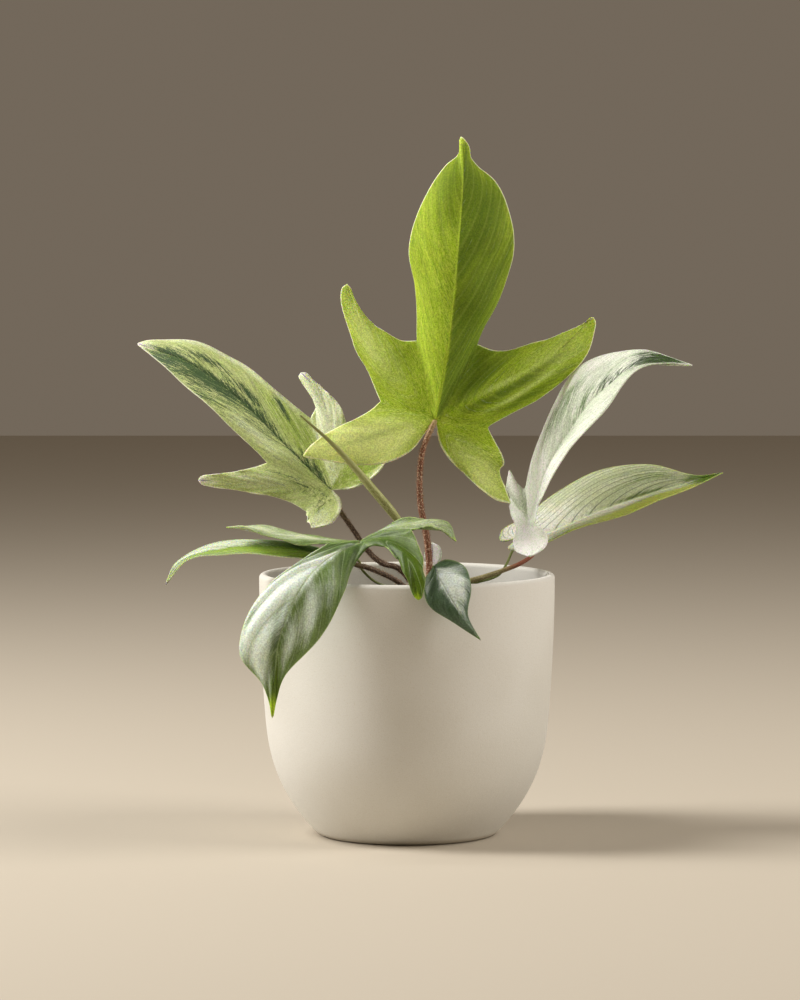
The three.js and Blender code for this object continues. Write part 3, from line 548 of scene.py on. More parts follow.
# The mottled leaf on the left, cream and lime with dark green along its rib and near its tip
mottledLeaf = {
    "piece": "mottled_blade_skin", "node": "mottled_leaf_blade", "slot": "mottled_blade",
    "joint": (-35.5, 12, 162.5), "main": 2, "wave": 0.8, "blend": 60,
    "ribDepth": 0.6, "ribWidth": 1.1, "quiltGap": 14, "quilt": 0.2, "veinDepth": 0.06, "uneven": 1.2,
    "lobes": [
        # left basal lobe
        {"rib": [(-40, 8, 155)], "tip": (-44.5, 1.5, 145), "sinus": (-47.5, 7.5, 152.5),
         "rise": [(-31.5, 9, 158.5), (-31.5, 5.5, 153), (-36.5, 1.5, 147)],
         "fall": [(-47, 4, 148)]},
        # left side lobe
        {"rib": [(-58, 11.5, 164), (-82, 10.5, 166.5)], "tip": (-99.2, 10, 167.6),
         "sinus": (-66.5, 14, 175.5),
         "rise": [(-58, 10, 158), (-79.5, 9.5, 162.5), (-97.5, 10, 165.5)],
         "fall": [(-97.5, 10.3, 169.3), (-82, 10.5, 171.5)]},
        # end lobe
        {"rib": [(-55, 18.5, 180.5), (-77.5, 27.5, 203), (-104.5, 37, 222)], "tip": (-130.5, 45.5, 231),
         "sinus": (-46, 26, 196),
         "rise": [(-79.5, 15, 188.5), (-99, 21.5, 206), (-117, 34, 221)],
         "fall": [(-124, 46, 233), (-105, 45, 232.5), (-83, 42, 224.5), (-65, 34, 210.5)]},
        # right side lobe
        {"rib": [(-35, 18, 184), (-38, 26.5, 203.5)], "tip": (-50.8, 35, 217.8), "sinus": (-26, 19, 186),
         "rise": [(-43.5, 29.5, 204), (-48, 32.5, 210.5), (-50.9, 34.3, 214.1), (-51.9, 34.8, 215.9)],
         "fall": [(-48.3, 34.6, 217.5), (-46.1, 33.8, 214.3), (-34, 26, 205)]},
        # right basal lobe
        {"rib": [(-22.5, 13, 170.5)], "tip": (-10, 12.5, 176),
         "rise": [(-15.5, 15, 182)],
         "fall": [(-14, 10.5, 170.5), (-24.5, 10.5, 164)]},
    ],
    "tips": [(0.9, 1), (0.92, 1), (0.965, 0.99), (0.92, 1), (0.9, 1)],
    "dark": [(2, (0.72, -0.3), (0.24, 0.75), 0.93, -1), (2, (0.84, -0.6), (0.12, 0.8), 0.93, -1),
             (2, (0.55, -0.85), (0.2, 0.3), 0.6), (2, (0.88, 0.1), (0.09, 0.5), 0.8),
             (2, (0.66, 0), (0.34, 0.2), 0.9), (2, (0.72, 0.5), (0.12, 0.14), 0.85),
             (2, (0.56, 0.3), (0.1, 0.16), 0.75), (2, (0.3, 0), (0.3, 0.07), 0.85),
             (2, (0.16, 0.08), (0.1, 0.16), 0.75), (2, (0.26, 0.72), (0.04, 0.16), 0.8),
             (2, (0.42, -0.3), (0.1, 0.3), 0.5), (1, (0.14, 0.2), (0.12, 0.5), 0.42),
             (0, (0.3, 0.2), (0.2, 0.5), 0.45)],
    # the broad half-strength pale patch over the left side lobe is painted light on a lobe that faces down
    # into shade; the others are the leaf's own cream
    "pale": [(2, (0.5, 0.95), (0.5, 0.12), 0.7), (2, (0.98, 0), (0.07, 1.5), 1),
             (1, (1, 0), (0.16, 1.5), 1), (1, (0.5, 0.3), (0.4, 1), 0.5), (0, (0.8, 0), (0.5, 1.5), 0.55),
             (2, (0.35, -0.6), (0.25, 0.4), 0.55), (3, (0.6, 0), (0.7, 1.8), 0.9)],
    "fresh": [(1, (0.4, 0), (0.3, 1.4), 0.6), (0, (0.6, 0), (0.6, 1.4), 0.6),
              (2, (0.2, 0.5), (0.25, 0.6), 0.7), (4, (0.5, 0), (0.7, 1.4), 0.8)],
}
mottledLook = {
    **leafLook, "fleck": (0.42, 1.7), "cloud": (3, 12), "seed": 7.1, "streakFrom": (0.47, 0.56),
    "feather": (0.44, 0.56), "ruffle": 4.2, "flecks": 0.03, "veinBump": 0.03, "glowReach": (0.8, 1, 0.5),
    "base": tint(216, 223, 166), "second": tint(198, 211, 138), "streak": tint(140, 162, 90),
    "streakShare": 0.55, "dark": tint(58, 88, 54), "darkShare": 0.95, "pale": tint(228, 240, 204),
    "fresh": tint(170, 192, 86), "tip": tint(238, 240, 226),
    "rib": tint(86, 112, 66), "ribWidth": 0.9, "ribShare": 0.75, "vein": tint(206, 214, 160),
    "veinGap": 14, "edge": tint(234, 238, 214), "edgeWidth": 0.8, "edgeShare": 0.8,
}
makeBlade(mottledLeaf, [leafMaterial("mottledUpper", mottledLook),
                        leafMaterial("mottledUnder", mottledLook, seed=2)])

# The white leaf on the right, seen almost from its side
whiteLeaf = {
    "piece": "white_blade_skin", "node": "white_leaf_blade", "slot": "white_blade",
    "joint": (58, 5, 148), "main": 3, "wave": 0.5, "blend": 34,
    "ribDepth": 0.6, "ribWidth": 1.1, "quiltGap": 12, "quilt": 0.25, "veinDepth": 0.08, "uneven": 1,
    "lobes": [
        # near basal lobe
        {"rib": [(58.5, -3, 141)], "tip": (58, -11, 132.5), "sinus": (53, 5, 144.5),
         "rise": [(63.5, 0.5, 145.5), (66.5, -6, 140.5), (63.5, -10.5, 135.5)],
         "fall": [(52, -5.5, 134), (50.5, 0, 138.5)]},
        # far basal lobe
        {"rib": [(54.5, 11, 151)], "tip": (49.5, 16, 154), "sinus": (50, 17, 159),
         "rise": [(50.5, 13, 149.5)],
         "fall": [(49.5, 17, 156.5)]},
        # far side lobe
        {"rib": [(55, 11, 157.5), (51, 17, 165)], "tip": (49, 20.5, 171.5), "sinus": (56.5, 16.5, 162),
         "rise": [(48, 19.5, 164)],
         "fall": [(52.5, 19.5, 164.5)]},
        # end lobe
        {"rib": [(63, 4.5, 163), (72.5, 4.5, 183.5), (87.5, 2.5, 205), (107.5, -1.5, 221)],
         "tip": (134, -10.5, 223), "sinus": (62, -3, 157.5),
         "rise": [(60, 19.5, 177.5), (69.5, 20.5, 202), (85.5, 17.5, 223.5), (110.5, 6, 229)],
         "fall": [(121, -11, 223.5), (108, -13, 220), (92.5, -15, 202), (75.5, -12.5, 182)]},
        # near side lobe
        {"rib": [(59.5, 0.5, 150)], "tip": (60.5, -7.5, 150),
         "rise": [(61, -5, 154)],
         "fall": [(60, -3.5, 146)]},
    ],
    "tips": [(0.95, 1), (0.95, 1), (0.95, 1), (0.97, 1), (0.95, 1)],
    "dark": [(3, (0.87, 0), (0.1, 1.8), 0.95), (3, (0.9, -0.7), (0.1, 0.6), 1.1),
             (3, (0.76, -0.1), (0.12, 0.3), 0.65)],
    # most pale patches are painted light: they lift the small lobes and the lower end lobe, which the lamps
    # leave in shade
    "pale": [(0, (0.5, 0), (0.8, 1.6), 1), (1, (0.5, 0), (0.9, 1.8), 1.1),
             (3, (0.5, -0.9), (0.4, 0.3), 0.7), (3, (0.15, 0), (0.3, 1.6), 0.8),
             (4, (0.5, 0), (0.8, 1.6), 1), (2, (0.8, 0), (0.5, 1.6), 0.9),
             (3, (0.4, 0.7), (0.4, 0.4), 0.5)],
    "fresh": [(3, (0.35, -0.6), (0.35, 0.4), 0.68), (3, (0.45, 0.1), (0.3, 0.25), 0.5),
              (3, (0.25, 0.6), (0.3, 0.5), 0.4), (3, (0.62, -0.8), (0.2, 0.25), 0.55),
              (3, (0.62, -0.2), (0.16, 0.25), 0.5), (3, (0.15, -0.2), (0.16, 0.5), 0.35),
              (3, (0.76, 0.4), (0.1, 0.5), 0.4), (2, (0.3, 0), (0.3, 1.5), 0.45),
              (1, (0.3, 0.2), (0.3, 1.2), 0.4), (0, (0.75, 0.6), (0.3, 0.4), 0.5)],
}
whiteLook = {
    **leafLook, "fleck": (0.5, 3.5), "cloud": (3, 18), "seed": 3.4, "feather": (0.42, 0.6), "ruffle": 2.8,
    "veinBump": 0.03, "glowReach": (0.8, 1, 0.7),
    "base": tint(224, 228, 216), "second": tint(208, 216, 198), "streak": tint(136, 158, 118),
    "streakShare": 0.6, "dark": tint(50, 74, 26), "darkShare": 1, "pale": tint(244, 254, 238),
    "fresh": tint(132, 156, 112), "tip": tint(206, 212, 180),
    "rib": tint(232, 242, 222), "ribWidth": 0.8, "ribShare": 0.5, "vein": tint(236, 238, 226),
    "veinGap": 12, "edge": tint(240, 248, 234), "edgeWidth": 0.6, "edgeShare": 0.6,
}
whiteMaterials = [leafMaterial("whiteUpper", whiteLook), leafMaterial("whiteUnder", whiteLook, seed=9)]
makeBlade(whiteLeaf, whiteMaterials)

# The pale leaf behind it, without lobes: grey-green above its rib and lime below
paleLeaf = {
    "piece": "pale_blade_skin", "node": "pale_leaf_blade", "slot": "pale_blade",
    "joint": (54.5, 17, 140), "main": 0, "wave": 0.4, "lean": 0.8,
    "ribDepth": 0.6, "ribWidth": 1.2, "quiltGap": 9.5, "quilt": 0.16, "veinDepth": 0.14, "uneven": 0.8,
    "lobes": [
        {"rib": [(69.5, 19, 142.5), (92.5, 22.5, 151.5), (119, 23.5, 160.5)], "tip": (151.5, 22.5, 170.5),
         "rise": [(45, 19.5, 137.5), (45.5, 24.5, 142.5), (55.5, 30, 147.5), (71.5, 34.5, 159.5),
                  (93, 34.5, 170.5), (117, 32, 173.5), (139.5, 24.5, 169)],
         "fall": [(135, 14, 163.5), (108, 4, 153.5), (84.5, 4.5, 146), (68, 9, 138.5), (54, 13, 133.5),
                  (48, 16, 134.5)]},
    ],
    "tips": [(0.86, 0.94)],
    "dark": [(0, (0.96, 0), (0.12, 1.5), 1.1), (0, (0.75, -0.6), (0.3, 0.5), 0.5),
             (0, (0.7, -0.08), (0.3, 0.1), 0.55)],
    "pale": [(0, (0, 0), (0.5, 1.2), 1.1), (0, (0.3, 0.3), (0.4, 0.45), 1.1)],
    "fresh": [(0, (0.68, 0.9), (0.3, 0.4), 0.9), (0, (0.35, 1), (0.2, 0.15), 0.6)],
}
paleLook = {
    **leafLook, "fleck": (0.5, 3), "cloud": (4, 24), "seed": 5.2,
    "base": tint(204, 209, 180), "second": tint(180, 188, 150), "streak": tint(216, 221, 198),
    "streakShare": 0.5, "dark": tint(100, 124, 40), "darkShare": 0.9, "pale": tint(240, 243, 232),
    "fresh": tint(206, 214, 108), "tip": tint(84, 116, 14),
    "rib": tint(226, 232, 206), "ribWidth": 1.2, "ribShare": 0.8, "vein": tint(84, 102, 70),
    "veinGap": 9.5, "veinWidth": 0.12, "veinShare": 0.7, "edge": tint(190, 204, 130), "edgeWidth": 0.5,
    "edgeShare": 0.6,
}
makeBlade(paleLeaf, [leafMaterial("paleUpper", paleLook), leafMaterial("paleUnder", paleLook, seed=6)])

# The green leaf that arches over the rim, with a silvery sheen painted between its side veins as a painted
# highlight
archingLeaf = {
    "piece": "arching_blade_skin", "node": "arching_leaf_blade", "slot": "green_blade",
    "joint": (-21.5, -52, 143), "main": 2, "wave": 0.8, "blend": 34,
    "ribDepth": 0.8, "ribWidth": 1.2, "quiltGap": 21, "quilt": 0.7, "veinDepth": 0.08, "uneven": 1.2,
    "lobes": [
        # right basal lobe
        {"rib": [(-9.5, -56, 148), (8, -58, 152.5)], "tip": (22.5, -60, 143.5), "sinus": (1.5, -64, 149.5),
         "rise": [(-16, -50, 146), (-4, -50, 152.5), (10.5, -51, 153.5), (19, -54, 151)],
         "fall": [(18, -62, 147), (10.5, -63, 151)]},
        # right side lobe
        {"rib": [(-10.5, -60, 146.5), (0, -74, 137.5)], "tip": (5, -81, 118.1), "sinus": (-17, -56, 142),
         "rise": [(5.5, -70, 141), (8, -79, 127.5), (7.6, -80.3, 122.5), (6.6, -80.8, 119.2)],
         "fall": [(3.2, -80.8, 119.5), (1.8, -80, 122.5), (-1, -78, 129.5), (-8, -68, 140.5)]},
        # end lobe
        {"rib": [(-35.5, -64, 137), (-48.5, -78, 123.5), (-58, -83, 100.5)], "tip": (-61.5, -77, 64),
         "sinus": (-35.5, -54, 142.5),
         "rise": [(-24.5, -62, 132.5), (-29, -74, 120.5), (-39.5, -79, 101), (-56, -80, 83),
                  (-59.5, -78.5, 74)],
         "fall": [(-62.5, -77.5, 71), (-66, -77.5, 79.5), (-76, -77, 93), (-72.5, -76, 112.5),
                  (-53.5, -69, 132)]},
        # left side lobe
        {"rib": [(-39.5, -48, 142.5), (-63.5, -42, 145)], "tip": (-84, -37, 148),
         "rise": [(-50.5, -53, 141.5), (-72.5, -47, 148)],
         "fall": [(-66, -34, 148), (-41.5, -40, 143.5)]},
    ],
    "tips": [(0.93, 1), (0.9, 1), (0.88, 0.97), (0.93, 1)],
    "dark": [(2, (0.7, 0.08), (0.25, 0.1), 0.8), (2, (0.2, -0.4), (0.16, 0.5), 0.7),
             (2, (0.55, -0.5), (0.3, 0.1), 0.6), (2, (0.25, 0.25), (0.2, 0.15), 0.5),
             (1, (0.4, 0.3), (0.5, 1), 0.8), (2, (0, 0), (0.24, 1.4), 0.95),
             (0, (0.1, 0), (0.3, 1.4), 0.6)],
    "pale": [(0, (0.7, 0), (0.6, 1.6), 0.6), (3, (0.9, 0), (0.35, 1.6), 1),
             (3, (0.5, -0.2), (0.4, 1), 0.8)],
    "fresh": [(1, (0.7, 0), (0.6, 1.6), 1.1), (2, (0.9, 0), (0.1, 1.6), 1.2),
              (0, (0.6, 0), (0.6, 1.6), 0.5), (3, (0.5, 0.4), (0.6, 0.6), 0.3)],
    # the sheen patches are painted highlights where the lamp's reflection falls on the blade
    "shine": [(2, (0.44, 0.5), (0.24, 0.5), 1.4), (2, (0.68, 0.6), (0.22, 0.45), 1.15),
              (2, (0.4, 0.98), (0.4, 0.12), 1), (2, (0.42, 0.1), (0.3, 0.24), 1.05),
              (2, (0.58, -0.45), (0.28, 0.4), 0.7), (0, (0.2, -0.6), (0.3, 0.4), 0.5)],
}
archingLook = {
    **leafLook, "fleck": (0.7, 4), "cloud": (6, 24), "seed": 8.8, "feather": (0.2, 0.9), "veinBump": 0.05,
    "roughness": 0.42, "glossy": 0.32, "specular": 0.3, "glow": 0.7,
    "base": tint(116, 140, 78), "second": tint(94, 120, 56), "streak": tint(150, 170, 120),
    "streakShare": 0.5, "dark": tint(68, 92, 44), "darkShare": 0.8, "pale": tint(202, 211, 180),
    # the sheen tint is a painted highlight colour
    "fresh": tint(86, 112, 18), "shine": tint(232, 243, 236), "shineShare": 0.88, "paintedSheenStripes": 0.25,
    "tip": tint(172, 206, 40),
    "rib": tint(170, 188, 138), "ribWidth": 0.7, "ribShare": 0.6, "vein": tint(178, 194, 154),
    "veinGap": 21, "veinWidth": 0.05, "veinShare": 0.4, "edge": tint(188, 202, 150), "edgeWidth": 0.4,
    "edgeShare": 0.5,
}
makeBlade(archingLeaf, [leafMaterial("archingUpper", archingLook),
                        leafMaterial("archingUnder", archingLook, seed=1, shineShare=0.2)])

# The long narrow young leaf on the left
strapLeaf = {
    "piece": "strap_blade_skin", "node": "strap_leaf", "slot": "strap_blade",
    "joint": (-23, -43, 134.5), "main": 0, "wave": 0.4,
    "ribDepth": 0.5, "ribWidth": 0.9, "quiltGap": 12, "quilt": 0.2, "veinDepth": 0.06, "uneven": 0.7,
    "lobes": [
        {"rib": [(-45, -42, 137), (-77.5, -37, 139), (-102, -31, 133)], "tip": (-113, -26, 120.5),
         "rise": [(-35.5, -47, 134.5), (-56.5, -49, 135.5), (-82, -42, 136.5), (-103, -33, 132)],
         "fall": [(-107.5, -28, 131.5), (-85, -29, 141.5), (-58, -34, 141), (-36, -38, 137.5)]},
    ],
    "tips": [(0.9, 1)],
    # the dark patch is a painted shadow near the joint, the pale one a painted highlight on the upper band
    # near the tip
    "dark": [(0, (0.2, 0.2), (0.3, 0.5), 0.8)],
    "pale": [(0, (0.75, 0.5), (0.35, 0.6), 0.85)],
    "fresh": [(0, (0.4, -0.4), (0.8, 0.7), 1)],
}
strapLook = {
    **leafLook, "fleck": (0.6, 5), "cloud": (5, 30), "seed": 2.9,
    "base": tint(112, 142, 84), "second": tint(92, 124, 66), "streak": tint(150, 172, 124),
    "streakShare": 0.4, "dark": tint(52, 84, 36), "darkShare": 0.85, "pale": tint(206, 216, 192),
    "fresh": tint(150, 178, 72), "tip": tint(166, 192, 96),
    "rib": tint(176, 192, 134), "ribWidth": 0.8, "ribShare": 0.6, "vein": tint(150, 168, 118),
    "veinGap": 12, "edge": tint(214, 222, 190), "edgeWidth": 0.5, "edgeShare": 0.8,
}
strapUnder = {"base": tint(150, 178, 76), "second": tint(132, 162, 66)}
makeBlade(strapLeaf, [leafMaterial("strapUpper", strapLook),
                      leafMaterial("strapUnder", strapLook, **strapUnder)])

# The small dark leaf over the front of the rim
smallDarkLeaf = {
    "piece": "small_dark_blade_skin", "node": "small_dark_leaf_blade", "slot": "dark_blade",
    "joint": (12, -64, 132.5), "main": 0, "wave": 0.3,
    "ribDepth": 0.5, "ribWidth": 0.9, "quiltGap": 9, "quilt": 0.4, "veinDepth": 0.08, "uneven": 0.5,
    "lobes": [
        {"rib": [(17, -75, 123.5), (24, -79, 112)], "tip": (33.5, -77, 99.5),
         "rise": [(18, -61, 135), (26, -65, 132.5), (29, -72, 123), (27.5, -76, 110.5)],
         "fall": [(21.5, -79, 107.5), (9.5, -79, 116), (7.5, -75, 125.5)]},
    ],
    "tips": [(0.9, 1)],
    # the sheen patches are painted highlights across the blade
    "shine": [(0, (0.4, -0.35), (0.28, 0.5), 1.35), (0, (0.62, -0.1), (0.14, 0.2), 1)],
}
smallDarkLook = {
    **leafLook, "fleck": (0.6, 3), "cloud": (4, 16), "seed": 6.6, "roughness": 0.34, "glossy": 0.3,
    "glow": 0.5,
    "base": tint(88, 112, 86), "second": tint(68, 92, 64), "streak": tint(92, 114, 88),
    "streakShare": 0.4, "dark": tint(36, 58, 32), "pale": tint(150, 166, 140), "fresh": tint(96, 126, 60),
    # the sheen tint is a painted highlight colour
    "shine": tint(228, 238, 232), "shineShare": 0.85, "paintedSheenStripes": 0.2, "tip": tint(98, 134, 36),
    "rib": tint(120, 138, 108), "ribWidth": 0.6, "ribShare": 0.4, "vein": tint(104, 124, 88), "veinGap": 9,
    "edge": tint(120, 142, 96), "edgeWidth": 0.4, "edgeShare": 0.6,
}
makeBlade(smallDarkLeaf, [leafMaterial("smallDarkUpper", smallDarkLook),
                          leafMaterial("smallDarkUnder", smallDarkLook, shineShare=0.15)])

# The small round white leaf behind the crown
smallWhiteLeaf = {
    "piece": "small_white_blade_skin", "node": "small_white_leaf", "slot": "white_blade",
    "joint": (11.5, 8, 125.5), "main": 0, "wave": 0.2,
    "ribDepth": 0.25, "ribWidth": 0.6, "quiltGap": 4, "quilt": 0.1, "veinDepth": 0.03, "uneven": 0.2,
    "lobes": [
        {"rib": [(12, 9, 132)], "tip": (12, 10, 138),
         "rise": [(8, 9, 131.5)],
         "fall": [(16, 8, 135.5), (16, 7, 129.5)]},
    ],
    "tips": [(0.95, 1)],
    # the pale patch is painted light on a leaf that sits in shade
    "pale": [(0, (0.5, 0), (1, 2), 1.1)],
}
makeBlade(smallWhiteLeaf, whiteMaterials)


# Stalks: a ring that is extruded along a curve

stalkMaking = {
    "sides": 20, "step": 0.8, "across": (1, 0.1, 0.2),      # where the ring's first corner faces
    "lumps": 0.04, "lumpSize": (1.3, 0.35),     # height as a share of the radius, fineness round and along
    "seedStep": 3.7,
}


def frameAt(curve, share, side):
    # an untwisted cross-section frame, carried along from the last one
    heading = curve["heading"](share)
    side = (side - heading * side.dot(heading)).normalized()
    return heading, side, heading.cross(side)


def radiusAt(radii, share):
    place = share * (len(radii) - 1)
    index = min(int(place), len(radii) - 2)
    return radii[index] + (radii[index + 1] - radii[index]) * (place - index)


def sweepRing(bm, curve, radii, sides, step, shape):
    # shape(turn, share) gives the radius as a share of the round one
    turnLayer = bm.verts.layers.int.new("turn")
    alongLayer = bm.verts.layers.float.new("along")
    stalkMap = bm.loops.layers.uv.new("stalkMap")
    first = bmesh.ops.create_circle(bm, segments=sides, radius=1)["verts"]
    first.sort(key=lambda vert: math.atan2(vert.co.y, vert.co.x) % (2 * math.pi))
    for index, vert in enumerate(first):
        vert[turnLayer] = index
    count = max(4, round(curve["length"] / step))
    made = []

    def placeRing(verts, share, side):
        heading, side, up = frameAt(curve, share, side)
        middle = curve["at"](share)
        for vert in verts:
            turn = 2 * math.pi * vert[turnLayer] / sides
            radius = radiusAt(radii, share) * shape(turn, share)
            vert.co = middle + (side * math.cos(turn) + up * math.sin(turn)) * radius
            vert[alongLayer] = share * curve["length"]
        return side

    side = placeRing(first, 0, Vector(stalkMaking["across"]))
    edges = list({edge for vert in first for edge in vert.link_edges})
    for number in range(1, count + 1):
        grown = bmesh.ops.extrude_edge_only(bm, edges=edges)["geom"]
        ring = [item for item in grown if isinstance(item, bmesh.types.BMVert)]
        edges = [item for item in grown if isinstance(item, bmesh.types.BMEdge)]
        made += [item for item in grown if isinstance(item, bmesh.types.BMFace)]
        side = placeRing(ring, number / count, side)
    for face in made:
        closing = any(loop.vert[turnLayer] == sides - 1 for loop in face.loops)
        for loop in face.loops:
            turn = loop.vert[turnLayer]
            turn = sides if closing and turn == 0 else turn
            loop[stalkMap].uv = (loop.vert[alongLayer], turn / sides)
    for ends in (first, ring):
        bmesh.ops.contextual_create(bm, geom=ends)
    bmesh.ops.recalc_face_normals(bm, faces=bm.faces)


# Short bristles, "perMm" of them on a millimetre of stalk. "bare" is the share at each end without them.
hairs = {
    "perMm": 12, "bare": 0.02, "length": 1.0, "lengths": (0.5, 1.2), "lean": (-0.1, 0.7),
    "root": 0.095, "point": 0.012, "sunk": 0.05,        # radii, and how deep they sit
}


def addHairs(bm, curve, radii, hairs, seed):
    # they lean towards the blade
    chance = random.Random(seed)
    side = Vector(stalkMaking["across"])
    for number in range(int(curve["length"] * hairs["perMm"])):
        share = hairs["bare"] + (1 - 2 * hairs["bare"]) * chance.random()
        heading, across, up = frameAt(curve, share, side)
        turn = chance.uniform(0, 2 * math.pi)
        out = across * math.cos(turn) + up * math.sin(turn)
        length = hairs["length"] * chance.uniform(*hairs["lengths"])
        lean = (out + heading * chance.uniform(*hairs["lean"])).normalized()
        root = curve["at"](share) + out * (radiusAt(radii, share) - hairs["sunk"])
        turned = lean.to_track_quat("Z", "Y").to_matrix().to_4x4()
        place = Matrix.Translation(root + lean * length / 2) @ turned
        made = bmesh.ops.create_cone(bm, cap_ends=True, segments=3, radius1=hairs["root"],
                                     radius2=hairs["point"], depth=length, matrix=place)["verts"]
        for face in {face for vert in made for face in vert.link_faces}:
            face.material_index = 1
            face.smooth = True


def makeStalk(name, stalk, materials, seed):
    bm = bmesh.new()
    curve = smoothCurve(stalk["path"])
    wide, long = stalkMaking["lumpSize"]

    def shape(turn, share):
        spot = Vector((math.cos(turn) * wide, math.sin(turn) * wide, share * curve["length"] * long + seed))
        return 1 + stalkMaking["lumps"] * noise.noise(spot)

    sweepRing(bm, curve, stalk["radii"], stalkMaking["sides"], stalkMaking["step"], shape)
    if "hairs" in stalk:
        addHairs(bm, curve, stalk["radii"], stalk["hairs"], seed)
    finishPiece(name + "_stem", bm, materials, name)


# What every stalk's look starts from. "topFrom" is where the top's tint fades in, in mm from the foot.
stalkLook = {
    "stripeSize": (0.12, 9.0), "stripeScale": 1.6, "secondFrom": (0.38, 0.62), "fleckFrom": (0.5, 0.66),
    "grainBump": 0.25, "stripeBump": 0.12, "roughFrom": (0.3, 0.7), "roughness": 0.5, "roughSpread": 0.12,
    "grain": 0.7, "fleckShare": 0.4,
}


def stalkMaterial(name, look):
    look = {**stalkLook, **look}
    material, tree = newMaterial(name)
    grain = placeGrain(tree, look["grain"])["Grain"]
    stalkMap = addNode(tree, "UVMap", uv_map="stalkMap").outputs[0]
    parts = addNode(tree, "SeparateXYZ", {0: stalkMap}).outputs
    along, around = look["stripeSize"]
    stripe = addNode(tree, "CombineXYZ", {0: calc(tree, "MULTIPLY", parts[0], along),
                                          1: calc(tree, "MULTIPLY", parts[1], around)})
    stripes = addNode(tree, "TexNoise", {"Vector": stripe.outputs[0], "Scale": look["stripeScale"],
                                         "Detail": 3.0}).outputs[0]
    colour = addTint(tree, look["base"], stripes, look, "second")
    colour = addTint(tree, colour, grain, look, "fleck")
    colour = addTint(tree, colour, parts[0], look, "top")
    height = calc(tree, "MULTIPLY_ADD", grain, look["grainBump"],
                  calc(tree, "MULTIPLY", stripes, look["stripeBump"]))
    rough = fade(tree, grain, *look["roughFrom"], look["roughness"], look["roughness"] + look["roughSpread"])
    finishMaterial(tree, colour, rough, {"IOR": 1.4}, height)
    return material


# The pot

pot = {
    "height": 124, "rim": 70, "taper": 9.4,
    "tuckHeight": 55, "tuckDepth": 18.8, "tuckPower": 2.5,      # how the wall turns in towards the foot
    "wall": 4, "tuckWall": 2.5, "floor": 9, "floorRounding": 3, "foot": 1,
    "footEdge": [(1.6, 0), (0.7, 0.25)], "floorEdge": [(1, 1), (3, 0)],     # in from the wall, and up
    "sides": 160, "lipSteps": 12, "fineBelow": 30, "fineStep": 2, "step": 4,
}
potLook = {
    "fine": 0.45, "soft": 2.2,      # sizes of the two grains
    "base": tint(227, 226, 221), "second": tint(220, 218, 211), "secondFrom": (0.35, 0.65),
    "speck": tint(205, 195, 172), "speckFrom": (0.56, 0.72), "speckShare": 0.35,
    "light": tint(242, 238, 226), "lightFrom": (0.44, 0.3), "lightShare": 0.3,
    # the foot band tint: browner and darker over the lowest three millimetres
    "footBand": tint(178, 164, 140), "footBandShare": 0.5, "footBandFrom": (0.003, 0.0005),     # metres above the foot
    "fineBump": 0.11, "softBump": 0.1, "bump": 0.8, "roughFrom": (0.3, 0.7), "rough": (0.62, 0.8),
}


def outerRadius(z):
    lift = max(0, 1 - z / pot["tuckHeight"])
    taper = pot["taper"] * (1 - z / pot["height"]) ** 2
    return pot["rim"] - taper - pot["tuckDepth"] * lift ** pot["tuckPower"]


def innerRadius(z):
    return outerRadius(z) - pot["wall"] - pot["tuckWall"] * max(0, 1 - z / pot["tuckHeight"])


def potProfile():
    points = [(0, 0), *[(outerRadius(0) - inward, up) for inward, up in pot["footEdge"]]]
    lip, floor = pot["wall"] / 2, pot["floor"]
    z = pot["foot"]
    while z < pot["height"] - lip - 1:
        points.append((outerRadius(z), z))
        z += pot["fineStep"] if z < pot["fineBelow"] else pot["step"]
    for step in range(pot["lipSteps"] + 1):
        turn = math.pi * step / pot["lipSteps"]
        points.append((pot["rim"] - lip + lip * math.cos(turn), pot["height"] - lip + lip * math.sin(turn)))
    z = pot["height"] - lip - pot["step"]
    while z > floor + pot["floorRounding"]:
        points.append((innerRadius(z), z))
        z -= pot["step"]
    points += [(innerRadius(floor) - inward, floor + up) for inward, up in pot["floorEdge"]]
    return points + [(0, floor)]


def lathe(bm, points, sides):
    verts = [bm.verts.new((r, 0, z)) for r, z in points]
    edges = [bm.edges.new(pair) for pair in zip(verts, verts[1:])]
    bmesh.ops.spin(bm, geom=verts + edges, cent=(0, 0, 0), axis=(0, 0, 1), angle=2 * math.pi,
                   steps=sides, use_merge=True)
    bmesh.ops.remove_doubles(bm, verts=bm.verts, dist=0.001)
    bmesh.ops.recalc_face_normals(bm, faces=bm.faces)


def potMaterial(look):
    material, tree = newMaterial("matteCeramic")
    fine, soft = placeGrain(tree, look["fine"])["Grain"], placeGrain(tree, look["soft"])
    place = addNode(tree, "TexCoord").outputs["Object"]
    up = addNode(tree, "SeparateXYZ", {0: place}).outputs[2]
    colour = look["base"]
    for key, value in (("second", soft["Cloud"]), ("speck", fine), ("light", fine), ("footBand", up)):
        colour = addTint(tree, colour, value, look, key)
    height = calc(tree, "MULTIPLY_ADD", soft["Grain"], look["softBump"],
                  calc(tree, "MULTIPLY", fine, look["fineBump"]))
    rough = fade(tree, fine, *look["roughFrom"], *look["rough"])
    finishMaterial(tree, colour, rough, {"IOR": 1.45}, height, look["bump"])
    return material


potBody = bmesh.new()
lathe(potBody, potProfile(), pot["sides"])
finishPiece("pot_body", potBody, [potMaterial(potLook)], "pot")

